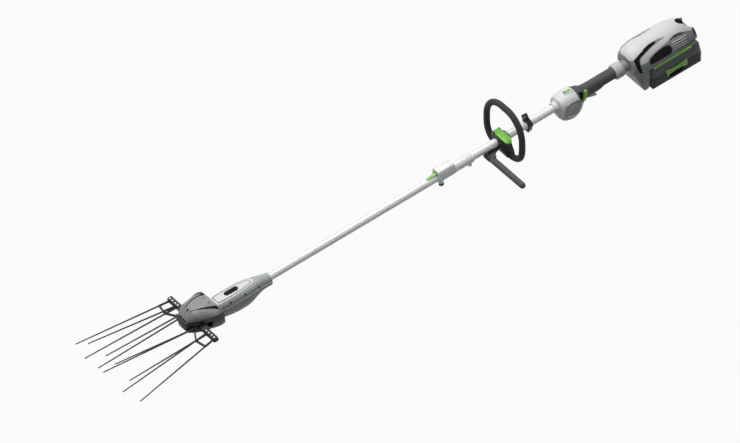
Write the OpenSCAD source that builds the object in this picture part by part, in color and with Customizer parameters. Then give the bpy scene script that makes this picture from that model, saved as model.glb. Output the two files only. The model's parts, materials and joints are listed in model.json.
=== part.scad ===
// Battery pole harvester with two oscillating rakes, in millimetres.
// Origin: on the pole axis, at the front face of the coupler sleeve.
// +X runs to the power head, -X to the tines, +Z is up, -Y is the operator's left side.

/* [Poles] */
// Outer diameter of the lower (attachment) pole
lower_d = 25; // [20:0.5:30]
// Outer diameter of the upper pole
upper_d = 26; // [20:0.5:32]
// Wall of both poles
pole_wall = 1.5; // [1:0.1:3]
// Exposed length of the lower pole
lower_len = 622; // [400:1:900]
// Length of the lower pole inside the coupler
insert_len = 62; // [40:1:64]
// Diameter of the drive shaft
shaft_d = 8; // [6:0.5:10]

/* [Coupler] */
// Outer diameter of the coupler sleeve
sleeve_d = 32.5; // [30:0.5:40]
// Length of the coupler sleeve
sleeve_len = 129; // [110:1:160]
// Length of the ridge on the coupler
ridge_len = 61; // [55:1:80]
// Height of the ridge over the pole axis
ridge_h = 30; // [29:0.5:40]

/* [Handle] */
// Place of the loop handle along the pole
handle_x = 243; // [225:1:260]
// Diameter of the loop
loop_d = 20; // [16:0.5:26]
// Half width of the loop centre line
loop_w = 87; // [70:1:110]
// Half height of the loop centre line
loop_h = 77; // [65:0.5:90]
// Backward lean of the loop per mm of height
loop_lean = 0.1; // [0:0.01:0.2]
// Reach of the barrier bar from the pole axis
bar_reach = 182; // [120:1:220]
// Diameter of the barrier bar at its root
bar_d = 21; // [14:0.5:24]

/* [Switch and grip] */
// Front of the switch housing
housing_x = 435; // [420:1:450]
// Half width of the switch housing
housing_w = 42; // [34:0.5:50]
// Radius of the rear grip
grip_r = 18; // [16:0.5:22]
// Place of the strap ring along the pole
strap_x = 341; // [330:1:370]
// Diameter of the strap eye
eye_d = 8; // [6:0.5:10]

/* [Power head] */
// Half width of the power head
head_w = 61; // [54:0.5:70]
// Height of the power head over the pole axis
head_top = 62; // [58:0.5:70]
// Depth of the battery under the pole axis
battery_depth = 98; // [90:1:110]
// Rear end of the battery
battery_end = 953; // [940:1:970]
// Depth of the vent slots
vent_depth = 4; // [2:0.5:6]

/* [Rakes] */
// Distance of a rake pivot from the centre line
pivot_y = 34; // [30:0.5:38]
// Place of the rake pivots along the pole
pivot_x = -885; // [-890:0.5:-880]
// Root diameter of a tine
tine_d = 5.2; // [4:0.1:7]
// Tip diameter of a tine
tine_tip_d = 3.6; // [2:0.1:5]
// Height of the crank shaft over the pole axis
crank_z = 15; // [15:0.5:15]
// Throw of the crank pin
crank_throw = 4.7; // [3:0.1:6]

/* [Fits] */
// Radial clearance of a running fit
run = 0.06; // [0.02:0.01:0.1]
// Gap between pieces that move past each other
gap = 0.35; // [0.2:0.05:0.8]
// Gap between fixed pieces set into each other
seat = 0.1; // [0.05:0.05:0.3]

/* [Hidden] */
$fn = 48;
eps = 0.01;
big = 200;
lower_r = lower_d / 2;
upper_r = upper_d / 2;
sleeve_r = sleeve_d / 2;
shaft_r = shaft_d / 2;
neck_x = -lower_len;
tip_shift = 622 - lower_len;
pole_split = insert_len + 3;
pole_end = 712;
hub_lo = 9;
hub_hi = 21;
arm_lo = 11;
arm_hi = 19;
pin_r = 4;
white = [0.88, 0.89, 0.88];
mid_grey = [0.43, 0.45, 0.45];
dark_grey = [0.28, 0.28, 0.28];
black = [0.12, 0.12, 0.12];
green = [0.42, 0.72, 0.18];
steel = [0.72, 0.73, 0.75];

// Signed power, for rounded sections.
function sp(v, e) = v >= 0 ? pow(v, e) : -pow(-v, e);

// Point at angle a of the rounded section s = [x, half width, top, bottom, height of the widest line, squareness].
function sec_pt(s, a, d) =
    let (e = 2 / s[5], c = sp(cos(a), e), q = sp(sin(a), e))
    [s[0], (s[1] + d) * c, s[4] + (q >= 0 ? (s[2] + d - s[4]) * q : (s[4] - s[3] + d) * q)];

// Skin over stations st (rising x), from section angle a0 to a1 in k steps, grown by d.
module skin(st, k = 28, a0 = 0, a1 = 360, d = 0) {
    m = a1 - a0 == 360 ? k : k + 1;
    n = len(st);
    pts = [for (s = st) for (i = [0 : m - 1]) sec_pt(s, a0 + (a1 - a0) * i / k, d)];
    sides = [for (j = [0 : n - 2]) for (i = [0 : m - 1]) let (h = (i + 1) % m) each
        [[j * m + i, (j + 1) * m + i, (j + 1) * m + h], [j * m + i, (j + 1) * m + h, j * m + h]]];
    front = [[for (i = [0 : m - 1]) i]];
    back = [[for (i = [0 : m - 1]) (n - 1) * m + m - 1 - i]];
    polyhedron(points = pts, faces = concat(sides, front, back), convexity = 6);
}

// Cylinder along X from x0 to x1 at height z.
module xrod(x0, x1, r, z = 0, y = 0, r2 = -1) {
    translate([x0, y, z]) rotate([0, 90, 0]) cylinder(h = x1 - x0, r1 = r, r2 = r2 < 0 ? r : r2);
}

// Tube along X.
module xtube(x0, x1, r, bore, z = 0) {
    difference() {
        xrod(x0, x1, r, z);
        xrod(x0 - 1, x1 + 1, bore, z);
    }
}

// Cylinder along Y from y0 to y1.
module yrod(x, z, y0, y1, r) {
    translate([x, y0, z]) rotate([-90, 0, 0]) cylinder(h = y1 - y0, r = r);
}

// Round bar from point a to point b with radii ra and rb.
module bar(a, b, ra, rb) {
    v = b - a;
    h = norm(v);
    translate(a) rotate([0, acos(v[2] / h), atan2(v[1], v[0])]) cylinder(h = h, r1 = ra, r2 = rb);
}

// Prism across the part: outline pts in X and Z, from y0 to y1.
module side_prism(pts, y0, y1) {
    translate([0, y1, 0]) rotate([90, 0, 0]) linear_extrude(height = y1 - y0) polygon(pts);
}

// Prism along the part: outline pts in Y and Z, from x0 to x1.
module long_prism(pts, x0, x1) {
    translate([x0, 0, 0]) rotate([90, 0, 90]) linear_extrude(height = x1 - x0) polygon(pts);
}

// Box from corner a to corner b.
module box(a, b) {
    translate(a) cube(b - a);
}

// Moves the rake end with the length of the lower pole.
module tip() {
    translate([tip_shift, 0, 0]) children();
}

module both_sides() {
    children();
    mirror([0, 1, 0]) children();
}

// Outline of an involute gear: module m, z teeth, addendum and dedendum in modules, play at the pitch line.
function inv(a) = tan(a) * 180 / PI - a;
function gear_pts(m, z, add, ded, play) =
    let (rp = m * z / 2, rb = rp * cos(20), ra = rp + add * m, rd = rp - ded * m, r0 = max(rb, rd) + eps,
        hp = 90 / z - play / rp * 90 / PI)
    [for (t = [0 : z - 1]) let (c = 360 * t / z) each concat(
        [[rd * cos(c - 180 / z), rd * sin(c - 180 / z)]],
        [let (a = c - hp - inv(20)) [rd * cos(a), rd * sin(a)]],
        [for (i = [0 : 4]) let (r = r0 + (ra - r0) * i / 4, a = c - hp - inv(20) + inv(acos(rb / r))) [r * cos(a), r * sin(a)]],
        [for (i = [4 : -1 : 0]) let (r = r0 + (ra - r0) * i / 4, a = c + hp + inv(20) - inv(acos(rb / r))) [r * cos(a), r * sin(a)]],
        [let (a = c + hp + inv(20)) [rd * cos(a), rd * sin(a)]])];

// Stations of the shells: [x, half width, top, bottom, height of the widest line, squareness]
NECK = [[-826, 28, 33, -32, 8, 2.8], [-800, 30, 33.5, -37, 8, 2.8], [-770, 31, 33, -43.5, 8, 2.8], [-745, 31, 32.5, -46.5, 8, 2.8],
    [-716, 30, 31.5, -47, 7, 2.7], [-694, 27.5, 29.5, -41.5, 5, 2.6], [-671, 23.5, 26.5, -32, 2, 2.4],
    [-652, 20.5, 22.5, -28, 0, 2.2], [-636, 19, 18, -28, -3, 2.1], [-622, 18.5, 15, -29, -6, 2]];
HEAD = [[-936, 33, 43, -8, 9, 3.6], [-921, 46, 54, -11, 10, 4.2], [-906, 53.5, 60.5, -13, 10, 5], [-887, 57, 61.5, -15, 10, 5],
    [-866, 57, 61, -22, 10, 5], [-851, 54.5, 58, -32, 10, 5], [-839, 51, 52, -35, 10, 4.4], [-826.2, 47, 38, -32, 10, 4]];
HOUSING = [[housing_x, 17, 17, -17, 0, 2], [housing_x + 11, 19, 19, -21, 0, 2], [housing_x + 16, housing_w - 8, 27.5, -48, -10, 2.2],
    [housing_x + 30, housing_w - 3, 31, -59.5, -14, 2.3], [housing_x + 52, housing_w, 33, -62, -16, 2.3],
    [housing_x + 72, housing_w - 2.5, 30.5, -55, -14, 2.3], [housing_x + 88, housing_w - 11, 26.5, -48, -8, 2.2],
    [housing_x + 99, 25, 24.5, -35, -4, 2.2]];
GRIP = [[housing_x + 99, 22, 23.5, -32, -2, 2.2], [housing_x + 110, grip_r + 1.5, 20.5, -28, -2, 2.2],
    [housing_x + 125, grip_r + 0.5, 19, -26, -2, 2.2], [housing_x + 152, grip_r, 18.5, -27, -2, 2.2],
    [housing_x + 168, grip_r, 18.5, -25, -2, 2.2], [housing_x + 184, grip_r, 18.5, -18.5, 0, 2.2],
    [housing_x + 225, grip_r, 18.5, -18, 0, 2.2]];
POWER = [[709, head_w - 21, head_top - 24, -60, -5, 2.2], [717, head_w - 12, head_top - 15, -60, -5, 2.1],
    [735, head_w - 4, head_top - 6, -60, -5, 2], [758, head_w - 0.5, head_top - 1, -60, -5, 2], [800, head_w, head_top, -60, -5, 2],
    [845, head_w - 0.5, head_top, -60, -5, 2], [880, head_w - 2, head_top - 2, -60, -5, 1.95],
    [905, head_w - 6, head_top - 8, -60, -5, 1.9], [922, head_w - 11, head_top - 17, -60, -5, 1.9],
    [944, head_w - 17, head_top - 28, -60, -5, 1.95]];

// Outlines on the power head, in X and Z
TOP_LINE = [[700, 31], [709, 34], [718, 38.3], [728, 44.3], [744, 50.3], [760, 54.8], [780, 56.3], [798, 55.8], [812, 53.2], [801, 50.7],
    [779, 47.7], [758, 43.7], [741, 38.7], [734, 32.7], [730, 26.5], [729.3, 10], [753, 10], [755, 20], [760, 29.5], [767, 32.5],
    [788, 37], [809, 40], [833, 42.5], [842, 44], [853, 47], [870, 48.5], [889, 45.5], [920, 31], [950, 12], [950, 95], [700, 95]];
INTAKE = [[718.1, 38], [728.2, 44], [744.2, 50], [760.2, 54.4], [780, 55.9], [797.8, 55.4], [810.6, 53.2], [800.9, 51.1], [778.8, 48.1],
    [757.7, 44.1], [740.6, 39], [733.6, 33], [729.7, 26.6], [729, 10], [732, -9], [724, -9], [718.5, 6], [717, 17], [717, 31]];
BADGE = [[757, 18], [763.5, 27.5], [782, 33], [802, 35.3], [820, 35.5], [834, 32], [840, 26], [840, 18], [834, 9.5], [762, 9.5]];

// Poles and shafts

module lower_pole() {
    color(steel) xtube(neck_x - 44, insert_len, lower_r, lower_r - pole_wall);
}

module lower_bushes() {
    color(black) for (f = [0.87, 0.48, 0.1])
        xtube(-lower_len * f, -lower_len * f + 14, lower_r - pole_wall - run / 2, shaft_r + run);
}

module lower_drive_shaft() {
    color(steel) union() {
        xrod(tip_shift - 752, insert_len, shaft_r);
        xrod(insert_len - eps, insert_len + 28, shaft_r - 0.02, $fn = 6);
        translate([tip_shift - 732, 0, 0]) rotate([90, 0, 90]) linear_extrude(height = 14)
            rotate(90) polygon(gear_pts(1, 10, 1, 1.2, 0.12));
    }
}

module upper_pole() {
    color(steel) xtube(pole_split, pole_end, upper_r, upper_r - pole_wall);
}

module upper_bushes() {
    color(black) for (x = [150, 300, 420, 640])
        xtube(x, x + 14, upper_r - pole_wall - run / 2, shaft_r + run);
}

module upper_drive_shaft() {
    color(steel) difference() {
        union() {
            xrod(pole_split + 3, 746, shaft_r);
            xrod(pole_split + 3, pole_split + 36, 8);
        }
        xrod(pole_split, pole_split + 28, shaft_r + 0.15, $fn = 6);
    }
}

// Neck and gears

module neck_room() {
    xrod(-666 - gap, -621, lower_r + seat / 2);
    xrod(-756, -622, 10);
    xrod(-738, -714, 8);
    xrod(-738, -712, 13.5, crank_z);
    xrod(-830, -710, 9, crank_z);
    xrod(-783, -772, 11 + seat / 2, crank_z);
    crank_room();
}

// Lens outline of the top panel, in X and Y.
function lens(x0, x1, w, k = 20) = [for (i = [0 : k - 1]) let (a = 360 * i / k)
    [(x0 + x1) / 2 + (x1 - x0) / 2 * sp(cos(a), 0.9), w * sp(sin(a), 0.75)]];

module neck_panel_prism(d) {
    translate([0, 0, 24 - d]) linear_extrude(height = 30) polygon(lens(-824 - d, -676 + d, 19 + d));
}

module neck_badge_prism(d) {
    translate([0, 0, 29.5 - d]) linear_extrude(height = 5.3 + d) union() {
        translate([-774, -8.5 - d]) square([32, 17 + 2 * d]);
        translate([-774, 0]) circle(r = 8.5 + d);
        translate([-742, 0]) circle(r = 8.5 + d);
    }
}

module neck_upper_shell() {
    color(mid_grey) tip() difference() {
        skin(NECK, 14, 0, 180);
        neck_room();
        neck_panel_prism(seat);
        neck_screw_seats(seat);
    }
}

module neck_lower_shell() {
    color(dark_grey) tip() difference() {
        skin(NECK, 14, 180, 360);
        neck_room();
    }
}

module neck_top_panel() {
    color(white) tip() difference() {
        intersection() {
            skin(NECK, 14, 0, 180, 0.8);
            neck_panel_prism(0);
        }
        neck_badge_prism(seat);
        neck_room();
    }
}

module neck_badge_plate() {
    color(black) tip() neck_badge_prism(0);
}

module neck_screw_seats(d) {
    for (q = [[-781, 22, 22], [-728, 20, 22], [-674, 12, 17]]) both_sides()
        yrod(q[0], q[1], q[2], 36, 3.2 + d);
}

module neck_screws() {
    color(steel) tip() intersection() {
        neck_screw_seats(0);
        skin(NECK, 28, 0, 360, 0.6);
    }
}

module gear_bearings() {
    color(steel) tip() union() {
        xtube(-707, -699, 10 - run / 2, shaft_r + run);
        xtube(-750, -743, 10 - run / 2, shaft_r + run);
        xtube(-782, -773, 11, 5 + run, crank_z);
    }
}

module crank_gear() {
    color(steel) tip() difference() {
        translate([-731, 0, crank_z]) rotate([90, 0, 90]) linear_extrude(height = 12)
            rotate(-90 + 9) polygon(gear_pts(1, 20, 0.7, 1.2, 0.12));
        xrod(-732, -718, 5 + eps, crank_z);
    }
}

module crank_shaft() {
    color(steel) tip() union() {
        xrod(-812, -716, 5, crank_z);
        xrod(-819, -812 + eps, 12, crank_z);
        xrod(-827.2, -819 + eps, 3, crank_z, -crank_throw);
    }
}

// Rake head

module crank_room() {
    xrod(-830, -790, 9, crank_z);
    box([-829, -14, crank_z - 14], [-808, 14, crank_z + 14]);
}

module pivot_holes(r) {
    for (s = [-1, 1]) translate([pivot_x, s * pivot_y, -11.1]) cylinder(h = 51.2, r = r);
}

module head_screw_seats(r, z0) {
    for (q = [[-915, 0], [-847, 13], [-847, -13]]) translate([q[0], q[1], z0]) cylinder(h = 60, r = r);
}

// Slots of the upper cover in plan: [x, y, half width] along each slot.
SLOT = [[-912, 13, 0.8], [-900, 19, 1], [-886, 24, 1.3], [-868, 28.8, 1.8], [-848, 32.5, 2.6], [-833, 37, 3.2]];
module cover_slots() {
    for (s = [-1, 1]) translate([0, 0, 54.5]) linear_extrude(height = 20) polygon(concat(
        [for (q = SLOT) [q[0], s * (q[1] + q[2])]], [for (i = [len(SLOT) - 1 : -1 : 0]) [SLOT[i][0], s * (SLOT[i][1] - SLOT[i][2])]]));
}

band_z = 38;
module head_upper_cover() {
    color([0.55, 0.55, 0.54]) tip() difference() {
        intersection() {
            skin(HEAD, 28);
            box([-940, -80, band_z + seat], [-780, 80, 80]);
        }
        pivot_holes(pin_r + seat / 2);
        head_screw_seats(3.4, 49);
        cover_slots();
    }
}

module head_lower_cover() {
    color(dark_grey) tip() difference() {
        intersection() {
            skin(HEAD, 28);
            union() {
                translate([0, 0, -60]) linear_extrude(height = 62.5)
                    polygon([[-945, -30], [-915, -34], [-900, -41], [-872, -46], [-852, -80], [-780, -80],
                        [-780, 80], [-852, 80], [-872, 46], [-900, 41], [-915, 34], [-945, 30]]);
                box([-940, -80, 22], [-780, 80, band_z]);
                box([-836, -80, 2], [-780, -16, 23]);
                box([-836, 16, 2], [-780, 80, 23]);
            }
        }
        crank_room();
        pivot_holes(pin_r + seat / 2);
        box([-941, -17, 0.5], [-905, 17, 10]);
        box([-905, -37, 21], [-840, 37, 24.2]);
    }
}

module head_nose_bumper() {
    color(black) tip() difference() {
        union() {
            linear_extrude(height = 21.2)
                polygon([[-937, -14], [-937, 14], [-925, 21], [-914, 24], [-914, 16.5], [-909, 16.5], [-909, -16.5], [-914, -16.5], [-914, -24], [-925, -21]]);
            translate([0, 0, 8]) linear_extrude(height = 13.5)
                polygon([[-944, -11], [-944, 11], [-941, 16], [-936.3, 19], [-936.3, -19], [-941, -16]]);
            translate([0, 0, 21.2]) linear_extrude(height = band_z - 22)
                polygon([[-944, -20], [-944, 20], [-941, 27], [-936.3, 31], [-936.3, -31], [-941, -27]]);
        }
        box([-936.3, -40, -10], [-900, 40, 0.6]);
        box([-936.3, -40, 0], [-914.05, 40, 2.6]);
        box([-936.3, 17, 0], [-900, 40, 2.6]);
        box([-936.3, -40, 0], [-900, -17, 2.6]);
    }
}

module head_screws() {
    color(steel) tip() intersection() {
        head_screw_seats(3.2, 49.2);
        skin(HEAD, 28, 0, 360, -1.6);
    }
}

module rake_pins() {
    color(steel) tip() for (s = [-1, 1]) translate([pivot_x, s * pivot_y, -11]) cylinder(h = band_z + 11, r = pin_r);
}

// One rake, drawn on the left (-Y) side; the right one is its mirror without the drive lever.
module hub_shape(drive, turn) {
    difference() {
        union() {
            translate([pivot_x, -pivot_y, hub_lo]) cylinder(h = hub_hi - hub_lo, r = 13);
            intersection() {
                translate([pivot_x, -pivot_y, arm_lo]) linear_extrude(height = arm_hi - arm_lo)
                    rotate(90 + turn) polygon(gear_pts(2, pivot_y, 0.9, 1.2, 0.2));
                translate([pivot_x, -pivot_y, 0]) linear_extrude(height = 30)
                    polygon([[0, 0], [-17, 40], [17, 40]]);
            }
            if (drive) translate([pivot_x, -pivot_y, arm_lo]) rotate([0, 0, 31.1]) union() {
                box([0, -7, 0], [56.4, 7, arm_hi - arm_lo]);
                translate([56.4, 0, 0]) cylinder(h = arm_hi - arm_lo, r = 8.6);
            }
            translate([0, 0, arm_lo]) linear_extrude(height = arm_hi - arm_lo)
                polygon([[pivot_x + 9, -pivot_y], [pivot_x + 4, -46], [pivot_x - 8.5, -66], [pivot_x - 24, -66], [pivot_x - 24, -pivot_y - 10], [pivot_x - 9, -pivot_y]]);
        }
        translate([pivot_x, -pivot_y, 0]) cylinder(h = 40, r = pin_r + run);
        if (drive) translate([pivot_x, -pivot_y, 0]) rotate([0, 0, 31.1]) union() {
            box([51, -3.2, 0], [62, 3.2, 40]);
        }
    }
}

// Comb of one rake, in X and Y, on the left side: beam with three arms, and a socket block on each arm.
COMB = [[-892, -117], [-892, -60], [-884, -48.5], [-897, -48.5], [-911, -29.6], [-942.5, -25.2], [-945, -40.6], [-919, -44], [-909, -62],
    [-909, -70.5], [-958.5, -71.5], [-958, -84.5], [-909, -84], [-909, -103], [-950, -107.5], [-948.5, -119.5], [-909, -118]];
SOCKETS = [[[-913, -30.4], [-941.8, -26.2], [-944, -39.8], [-919.5, -43], [-914, -36]],
    [[-922, -72.2], [-957.6, -72.3], [-957.2, -83.7], [-922, -83.4]],
    [[-922, -106.2], [-949, -108.4], [-947.8, -118.7], [-922, -117.4]]];
module strut(a, b, w) {
    v = b - a;
    translate([a[0], a[1], 0]) rotate([0, 0, atan2(v[1], v[0])]) translate([0, -w / 2]) square([norm(v), w]);
}

module comb_shape() {
    difference() {
        union() {
            translate([0, 0, 5]) linear_extrude(height = 5.9) union() {
                polygon(COMB);
                strut([-930, -38], [-946, -76], 5);
                strut([-943, -80], [-938, -112], 5);
            }
            for (b = SOCKETS) translate([0, 0, 10.4]) linear_extrude(height = 8.6) polygon(b);
            box([-908.2, -116.2, 10.4], [-892.8, -66.8, 19]);
        }
        for (y = [-98, -77]) box([-905.5, y - 3, 0], [-899.5, y + 3, 40]);
        for (y = [-108, -88]) box([-905.5, y - 4.5, 12], [-896, y + 4.5, 40]);
        for (t = TINES) bar(t[0] + (t[0] - t[1]) * 0.01, t[1], t[2] + seat / 2, t[2] + seat / 2);
    }
}

// Tines: root inside the socket, tip, root radius.
TINES = [[[-928, -112, 10], [-1215, -160, 0], tine_d / 2],
    [[-936, -75.4, 9.2], [-1230, -94, 0], tine_d / 2], [[-936, -80.4, 14.6], [-1207, -103, 39], tine_d / 2],
    [[-922, -37.2, 15], [-1200, -23, 43], tine_d / 2], [[-922, -31.8, 9], [-1238, -12, 26], tine_d / 2]];
module tines_shape() {
    for (t = TINES) let (v = t[1] - t[0], h = norm(v), q = tine_tip_d / 2)
        translate(t[0]) rotate([0, acos(v[2] / h), atan2(v[1], v[0])]) rotate_extrude()
            polygon([[0, 0], [t[2], 0], [t[2], h * 0.12], [q, h - 1.5], [q * 0.5, h], [0, h]]);
}

module rake_hub_left() {
    color(dark_grey) tip() hub_shape(true, 0);
}

module rake_comb_left() {
    color(black) tip() comb_shape();
}

module rake_tines_left() {
    color(black) tip() tines_shape();
}

module rake_hub_right() {
    color(dark_grey) tip() mirror([0, 1, 0]) hub_shape(false, 180 / pivot_y);
}

module rake_comb_right() {
    color(black) tip() mirror([0, 1, 0]) comb_shape();
}

module rake_tines_right() {
    color(black) tip() mirror([0, 1, 0]) tines_shape();
}

// Coupler

module coupler_sleeve() {
    color(white) difference() {
        union() {
            xrod(0, sleeve_len, sleeve_r);
            xrod(1, 5, sleeve_r + 1);
            xrod(8, 12, sleeve_r + 1);
            translate([15, 0, -30]) cylinder(h = 20, r = 7);
            translate([sleeve_len - 7, 0, -27]) cylinder(h = 18, r = 6.5);
        }
        xrod(-1, pole_split - 1.5, lower_r + run);
        xrod(pole_split - 1.6, sleeve_len + 1, upper_r + run / 2);
        box([-1, -6, 10], [32, 6, 30]);
        translate([15, 0, -31]) cylinder(h = 20, r = 3 + run);
        translate([sleeve_len - 7, 0, -28]) cylinder(h = 20, r = 2.5 + eps);
    }
}

module coupler_cover() {
    color(mid_grey) difference() {
        long_prism([[-10, ridge_h], [10, ridge_h], [13, ridge_h - 1.5], [15, ridge_h - 4.5], [18, 12], [18.6, 0], [18, -6],
            [-18, -6], [-18.6, 0], [-18, 12], [-15, ridge_h - 4.5], [-13, ridge_h - 1.5]], 0, ridge_len);
        xrod(-1, 14, sleeve_r + 1 + seat / 2);
        xrod(13, ridge_len + 1, sleeve_r + seat / 2);
        box([-1, -20, -20], [ridge_len + 1, 20, -5.9]);
        box([-1, -6, 10], [32, 6, 26]);
        side_prism([[-1, ridge_h - 4], [-1, 50], [6, 50]], -30, 30);
        side_prism([[ridge_len - 8, 50], [ridge_len + 1, ridge_h - 14], [ridge_len + 1, 50]], -30, 30);
        yrod(22, 20, -15, 15, 2 + seat / 2);
    }
}

module release_lever() {
    color(green) difference() {
        union() {
            linear_extrude_tongue();
            translate([0, 0, 0]) yrod(22, 20, -5.5, 5.5, 4.6);
            side_prism([[-3, 14.2], [-3, 18.2], [20, 24.2], [24, 17], [18, 15.8]], -5.5, 5.5);
        }
        yrod(22, 20, -10, 10, 2 + run);
    }
}

module linear_extrude_tongue() {
    intersection() {
        translate([0, 0, 13.4]) linear_extrude(height = 4.6)
            polygon([[-35, -2.6], [-35, 2.6], [-32, 3.6], [-1, 5.5], [2, 5.5], [2, -5.5], [-1, -5.5], [-32, -3.6]]);
        side_prism([[-35, 13.4], [-35, 14.6], [-20, 16.2], [0, 18], [2, 18], [2, 13.4]], -10, 10);
    }
}

module coupler_knob() {
    color(black) union() {
        translate([15, 0, -31]) cylinder(h = 14, r = 3);
        translate([15, 0, -38]) cylinder(h = 8 - gap, r = 7);
        for (a = [0 : 60 : 359]) translate([15, 0, -37.5]) rotate([0, 0, a]) box([6, -1.6, 0], [8.4, 1.6, 6.5]);
    }
}

module pole_bolts() {
    color(steel) union() {
        translate([sleeve_len - 7, 0, -28]) cylinder(h = 14, r = 2.5);
        translate([sleeve_len - 7, 0, -31]) cylinder(h = 4, r = 4.6);
    }
    color(steel) union() {
        yrod(strap_x, -21, -11, 11, 2.5);
        yrod(strap_x, -21, -12, -9, 4.2);
        yrod(strap_x, -21, 9, 12.5, 4.2);
    }
}

// Strap ring and front handle

module strap_ring() {
    color(black) difference() {
        union() {
            xrod(strap_x - 8, strap_x + 8, upper_r + 4);
            side_prism([[strap_x - 21, 26], [strap_x - 19, 38], [strap_x + 1, 40], [strap_x + 4, 37], [strap_x + 7, 12], [strap_x - 7, 12]], -2.5, 2.5);
            box([strap_x - 8, -9, -27], [strap_x + 8, 9, -12]);
        }
        xrod(strap_x - 10, strap_x + 10, upper_r + eps);
        box([strap_x - 10, -1.2, -30], [strap_x + 10, 1.2, -11]);
        yrod(strap_x - 9, 31, -10, 10, eye_d / 2);
        yrod(strap_x, -21, -20, 20, 2.5 + eps);
    }
}

loop_mid = 27.5;
loop_x = handle_x + 11.5;
loop_n = 64;
function loop_pt(a) = let (z = loop_mid + loop_h * max(-1, min(1, 1.02 * sp(sin(a), 0.62)))) [loop_x + loop_lean * z, loop_w * sp(cos(a), 0.62), z];
module loop_grip() {
    k = 14;
    path = [for (i = [0 : loop_n - 1]) loop_pt(360 * (i + 0.5) / loop_n)];
    side = [1, 0, -loop_lean] / norm([1, 0, -loop_lean]);
    pts = [for (i = [0 : loop_n - 1]) let (t = path[(i + 1) % loop_n] - path[(i + loop_n - 1) % loop_n],
        out = cross(t, side) / norm(t)) for (j = [0 : k - 1]) let (a = 360 * (j + 0.5) / k)
        path[i] + loop_d / 2 * (cos(a) * side + sin(a) * out)];
    faces = [for (i = [0 : loop_n - 1]) for (j = [0 : k - 1]) let (p = (i + 1) % loop_n, q = (j + 1) % k) each
        [[i * k + j, p * k + q, p * k + j], [i * k + j, i * k + q, p * k + q]]];
    color(black) polyhedron(points = pts, faces = faces, convexity = 8);
}

loop_base_z = loop_mid - loop_h;
loop_base_x = loop_x + loop_lean * loop_base_z;
hinge_y = 22.2;
module clamp_base() {
    color(black) difference() {
        union() {
            intersection() {
                long_prism([[-22, 8], [-22, -12], [-32, loop_base_z + 12], [-34, loop_base_z], [34, loop_base_z], [32, loop_base_z + 12], [22, -12], [22, 8]],
                    handle_x - 40, handle_x + 40);
                side_prism([[handle_x - 20, 20], [handle_x - 20, -16], [loop_base_x - 14, loop_base_z], [loop_base_x + 13, loop_base_z],
                    [handle_x + 20, -16], [handle_x + 20, 20]], -50, 50);
            }
            xrod(handle_x - 20, handle_x + 20, 20);
            box([handle_x - 16, 12, 4], [handle_x + 14, hinge_y + 5, 21]);
        }
        xrod(handle_x - 50, handle_x + 50, upper_r + run);
        yrod(loop_base_x, loop_base_z, -50, 50, loop_d / 2 + gap);
        box([handle_x - 30, -30, 16.6], [handle_x + 30, hinge_y - 5, 30]);
        box([handle_x - 11, hinge_y - 7.2, 10], [handle_x + 9, hinge_y + 15, 30]);
        xrod(handle_x - 30, handle_x + 30, 2 + eps, 17, hinge_y);
    }
}

module clamp_pin() {
    color(steel) xrod(handle_x - 16, handle_x + 14, 2, 17, hinge_y);
}

module clamp_lever() {
    color(green) difference() {
        union() {
            xrod(handle_x - 10.6, handle_x + 8.6, 4.4, 17, hinge_y);
            intersection() {
                long_prism([[26.5, 21.4], [23.5, 24.4], [5, 26.4], [-22, 26], [-38, 23.4], [-46, 19.6], [-47.6, 17.6], [-45, 16.9], [-28, 19.4], [4, 17], [18, 17]],
                    handle_x - 20, handle_x + 20);
                linear_extrude(height = 60) polygon([[handle_x - 10.6, 28], [handle_x + 8.6, 28], [handle_x + 8.6, 15.4], [handle_x + 11, 8],
                    [handle_x + 11.6, -20], [handle_x + 11, -36], [handle_x + 8, -44], [handle_x + 2, -47.6], [handle_x - 5, -47.6],
                    [handle_x - 11, -44], [handle_x - 14, -36], [handle_x - 14.6, -20], [handle_x - 14, 8], [handle_x - 10.6, 15.4]]);
            }
        }
        xrod(handle_x - 30, handle_x + 30, 2 + run, 17, hinge_y);
        xrod(handle_x - 30, handle_x + 30, upper_r + 2);
        box([handle_x - 30, -22.5, 10], [handle_x + 30, hinge_y - 4.4, 17]);
    }
}

bar_x = handle_x - 56;
bar_z = -30;
bar_tip = bar_d / 2 - 0.5;
module barrier_bar() {
    color(dark_grey) difference() {
        union() {
            box([bar_x - 6, -11, bar_z + 5], [handle_x - 20, 11, -14.5]);
            translate([0, 0, bar_z + 5]) linear_extrude(height = 8) polygon([[bar_x, -8], [bar_x, -34], [bar_x + 11, -32], [bar_x + 15, -22], [bar_x + 24, -14],
                [handle_x - 22, -10.5], [handle_x - 22, -8]]);
            yrod(bar_x, bar_z, -20, 4, bar_d / 2 + 1.5);
            translate([bar_x, 0, bar_z]) rotate([90, 0, 0]) rotate_extrude() polygon(concat([[0, 0], [bar_d / 2, 0], [bar_d / 2, 20]],
                [for (a = [0 : 15 : 75]) [bar_tip * cos(a), bar_reach - bar_tip + bar_tip * sin(a)]], [[0, bar_reach]]));
        }
        xrod(bar_x - 40, handle_x, upper_r + gap);
    }
}

// Switch housing and grip

module housing_cuts() {
    xrod(housing_x - 5, housing_x + 110, upper_r + seat / 2);
    box([housing_x + 43 - seat, -9 - seat, 27], [housing_x + 73 + seat, 9 + seat, 50]);
    box([housing_x + 49 - seat, -9 - seat, -44 - seat], [housing_x + 83 + seat, 9 + seat, -16 + seat]);
}

module panel_prism(d) {
    both_sides() side_prism([[housing_x + 22 - d, 6], [housing_x + 27, 11 + d], [housing_x + 49, 16 + d], [housing_x + 73, 12 + d], [housing_x + 80 + d, -6],
        [housing_x + 69 + d, -30 - d], [housing_x + 58, -35 - d], [housing_x + 28, -26 - d], [housing_x + 22 - d, -18]], 29, 60);
}

module lock_notch() {
    box([housing_x + 84, -60, -19], [housing_x + 120, -18.6, 26]);
}

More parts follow.
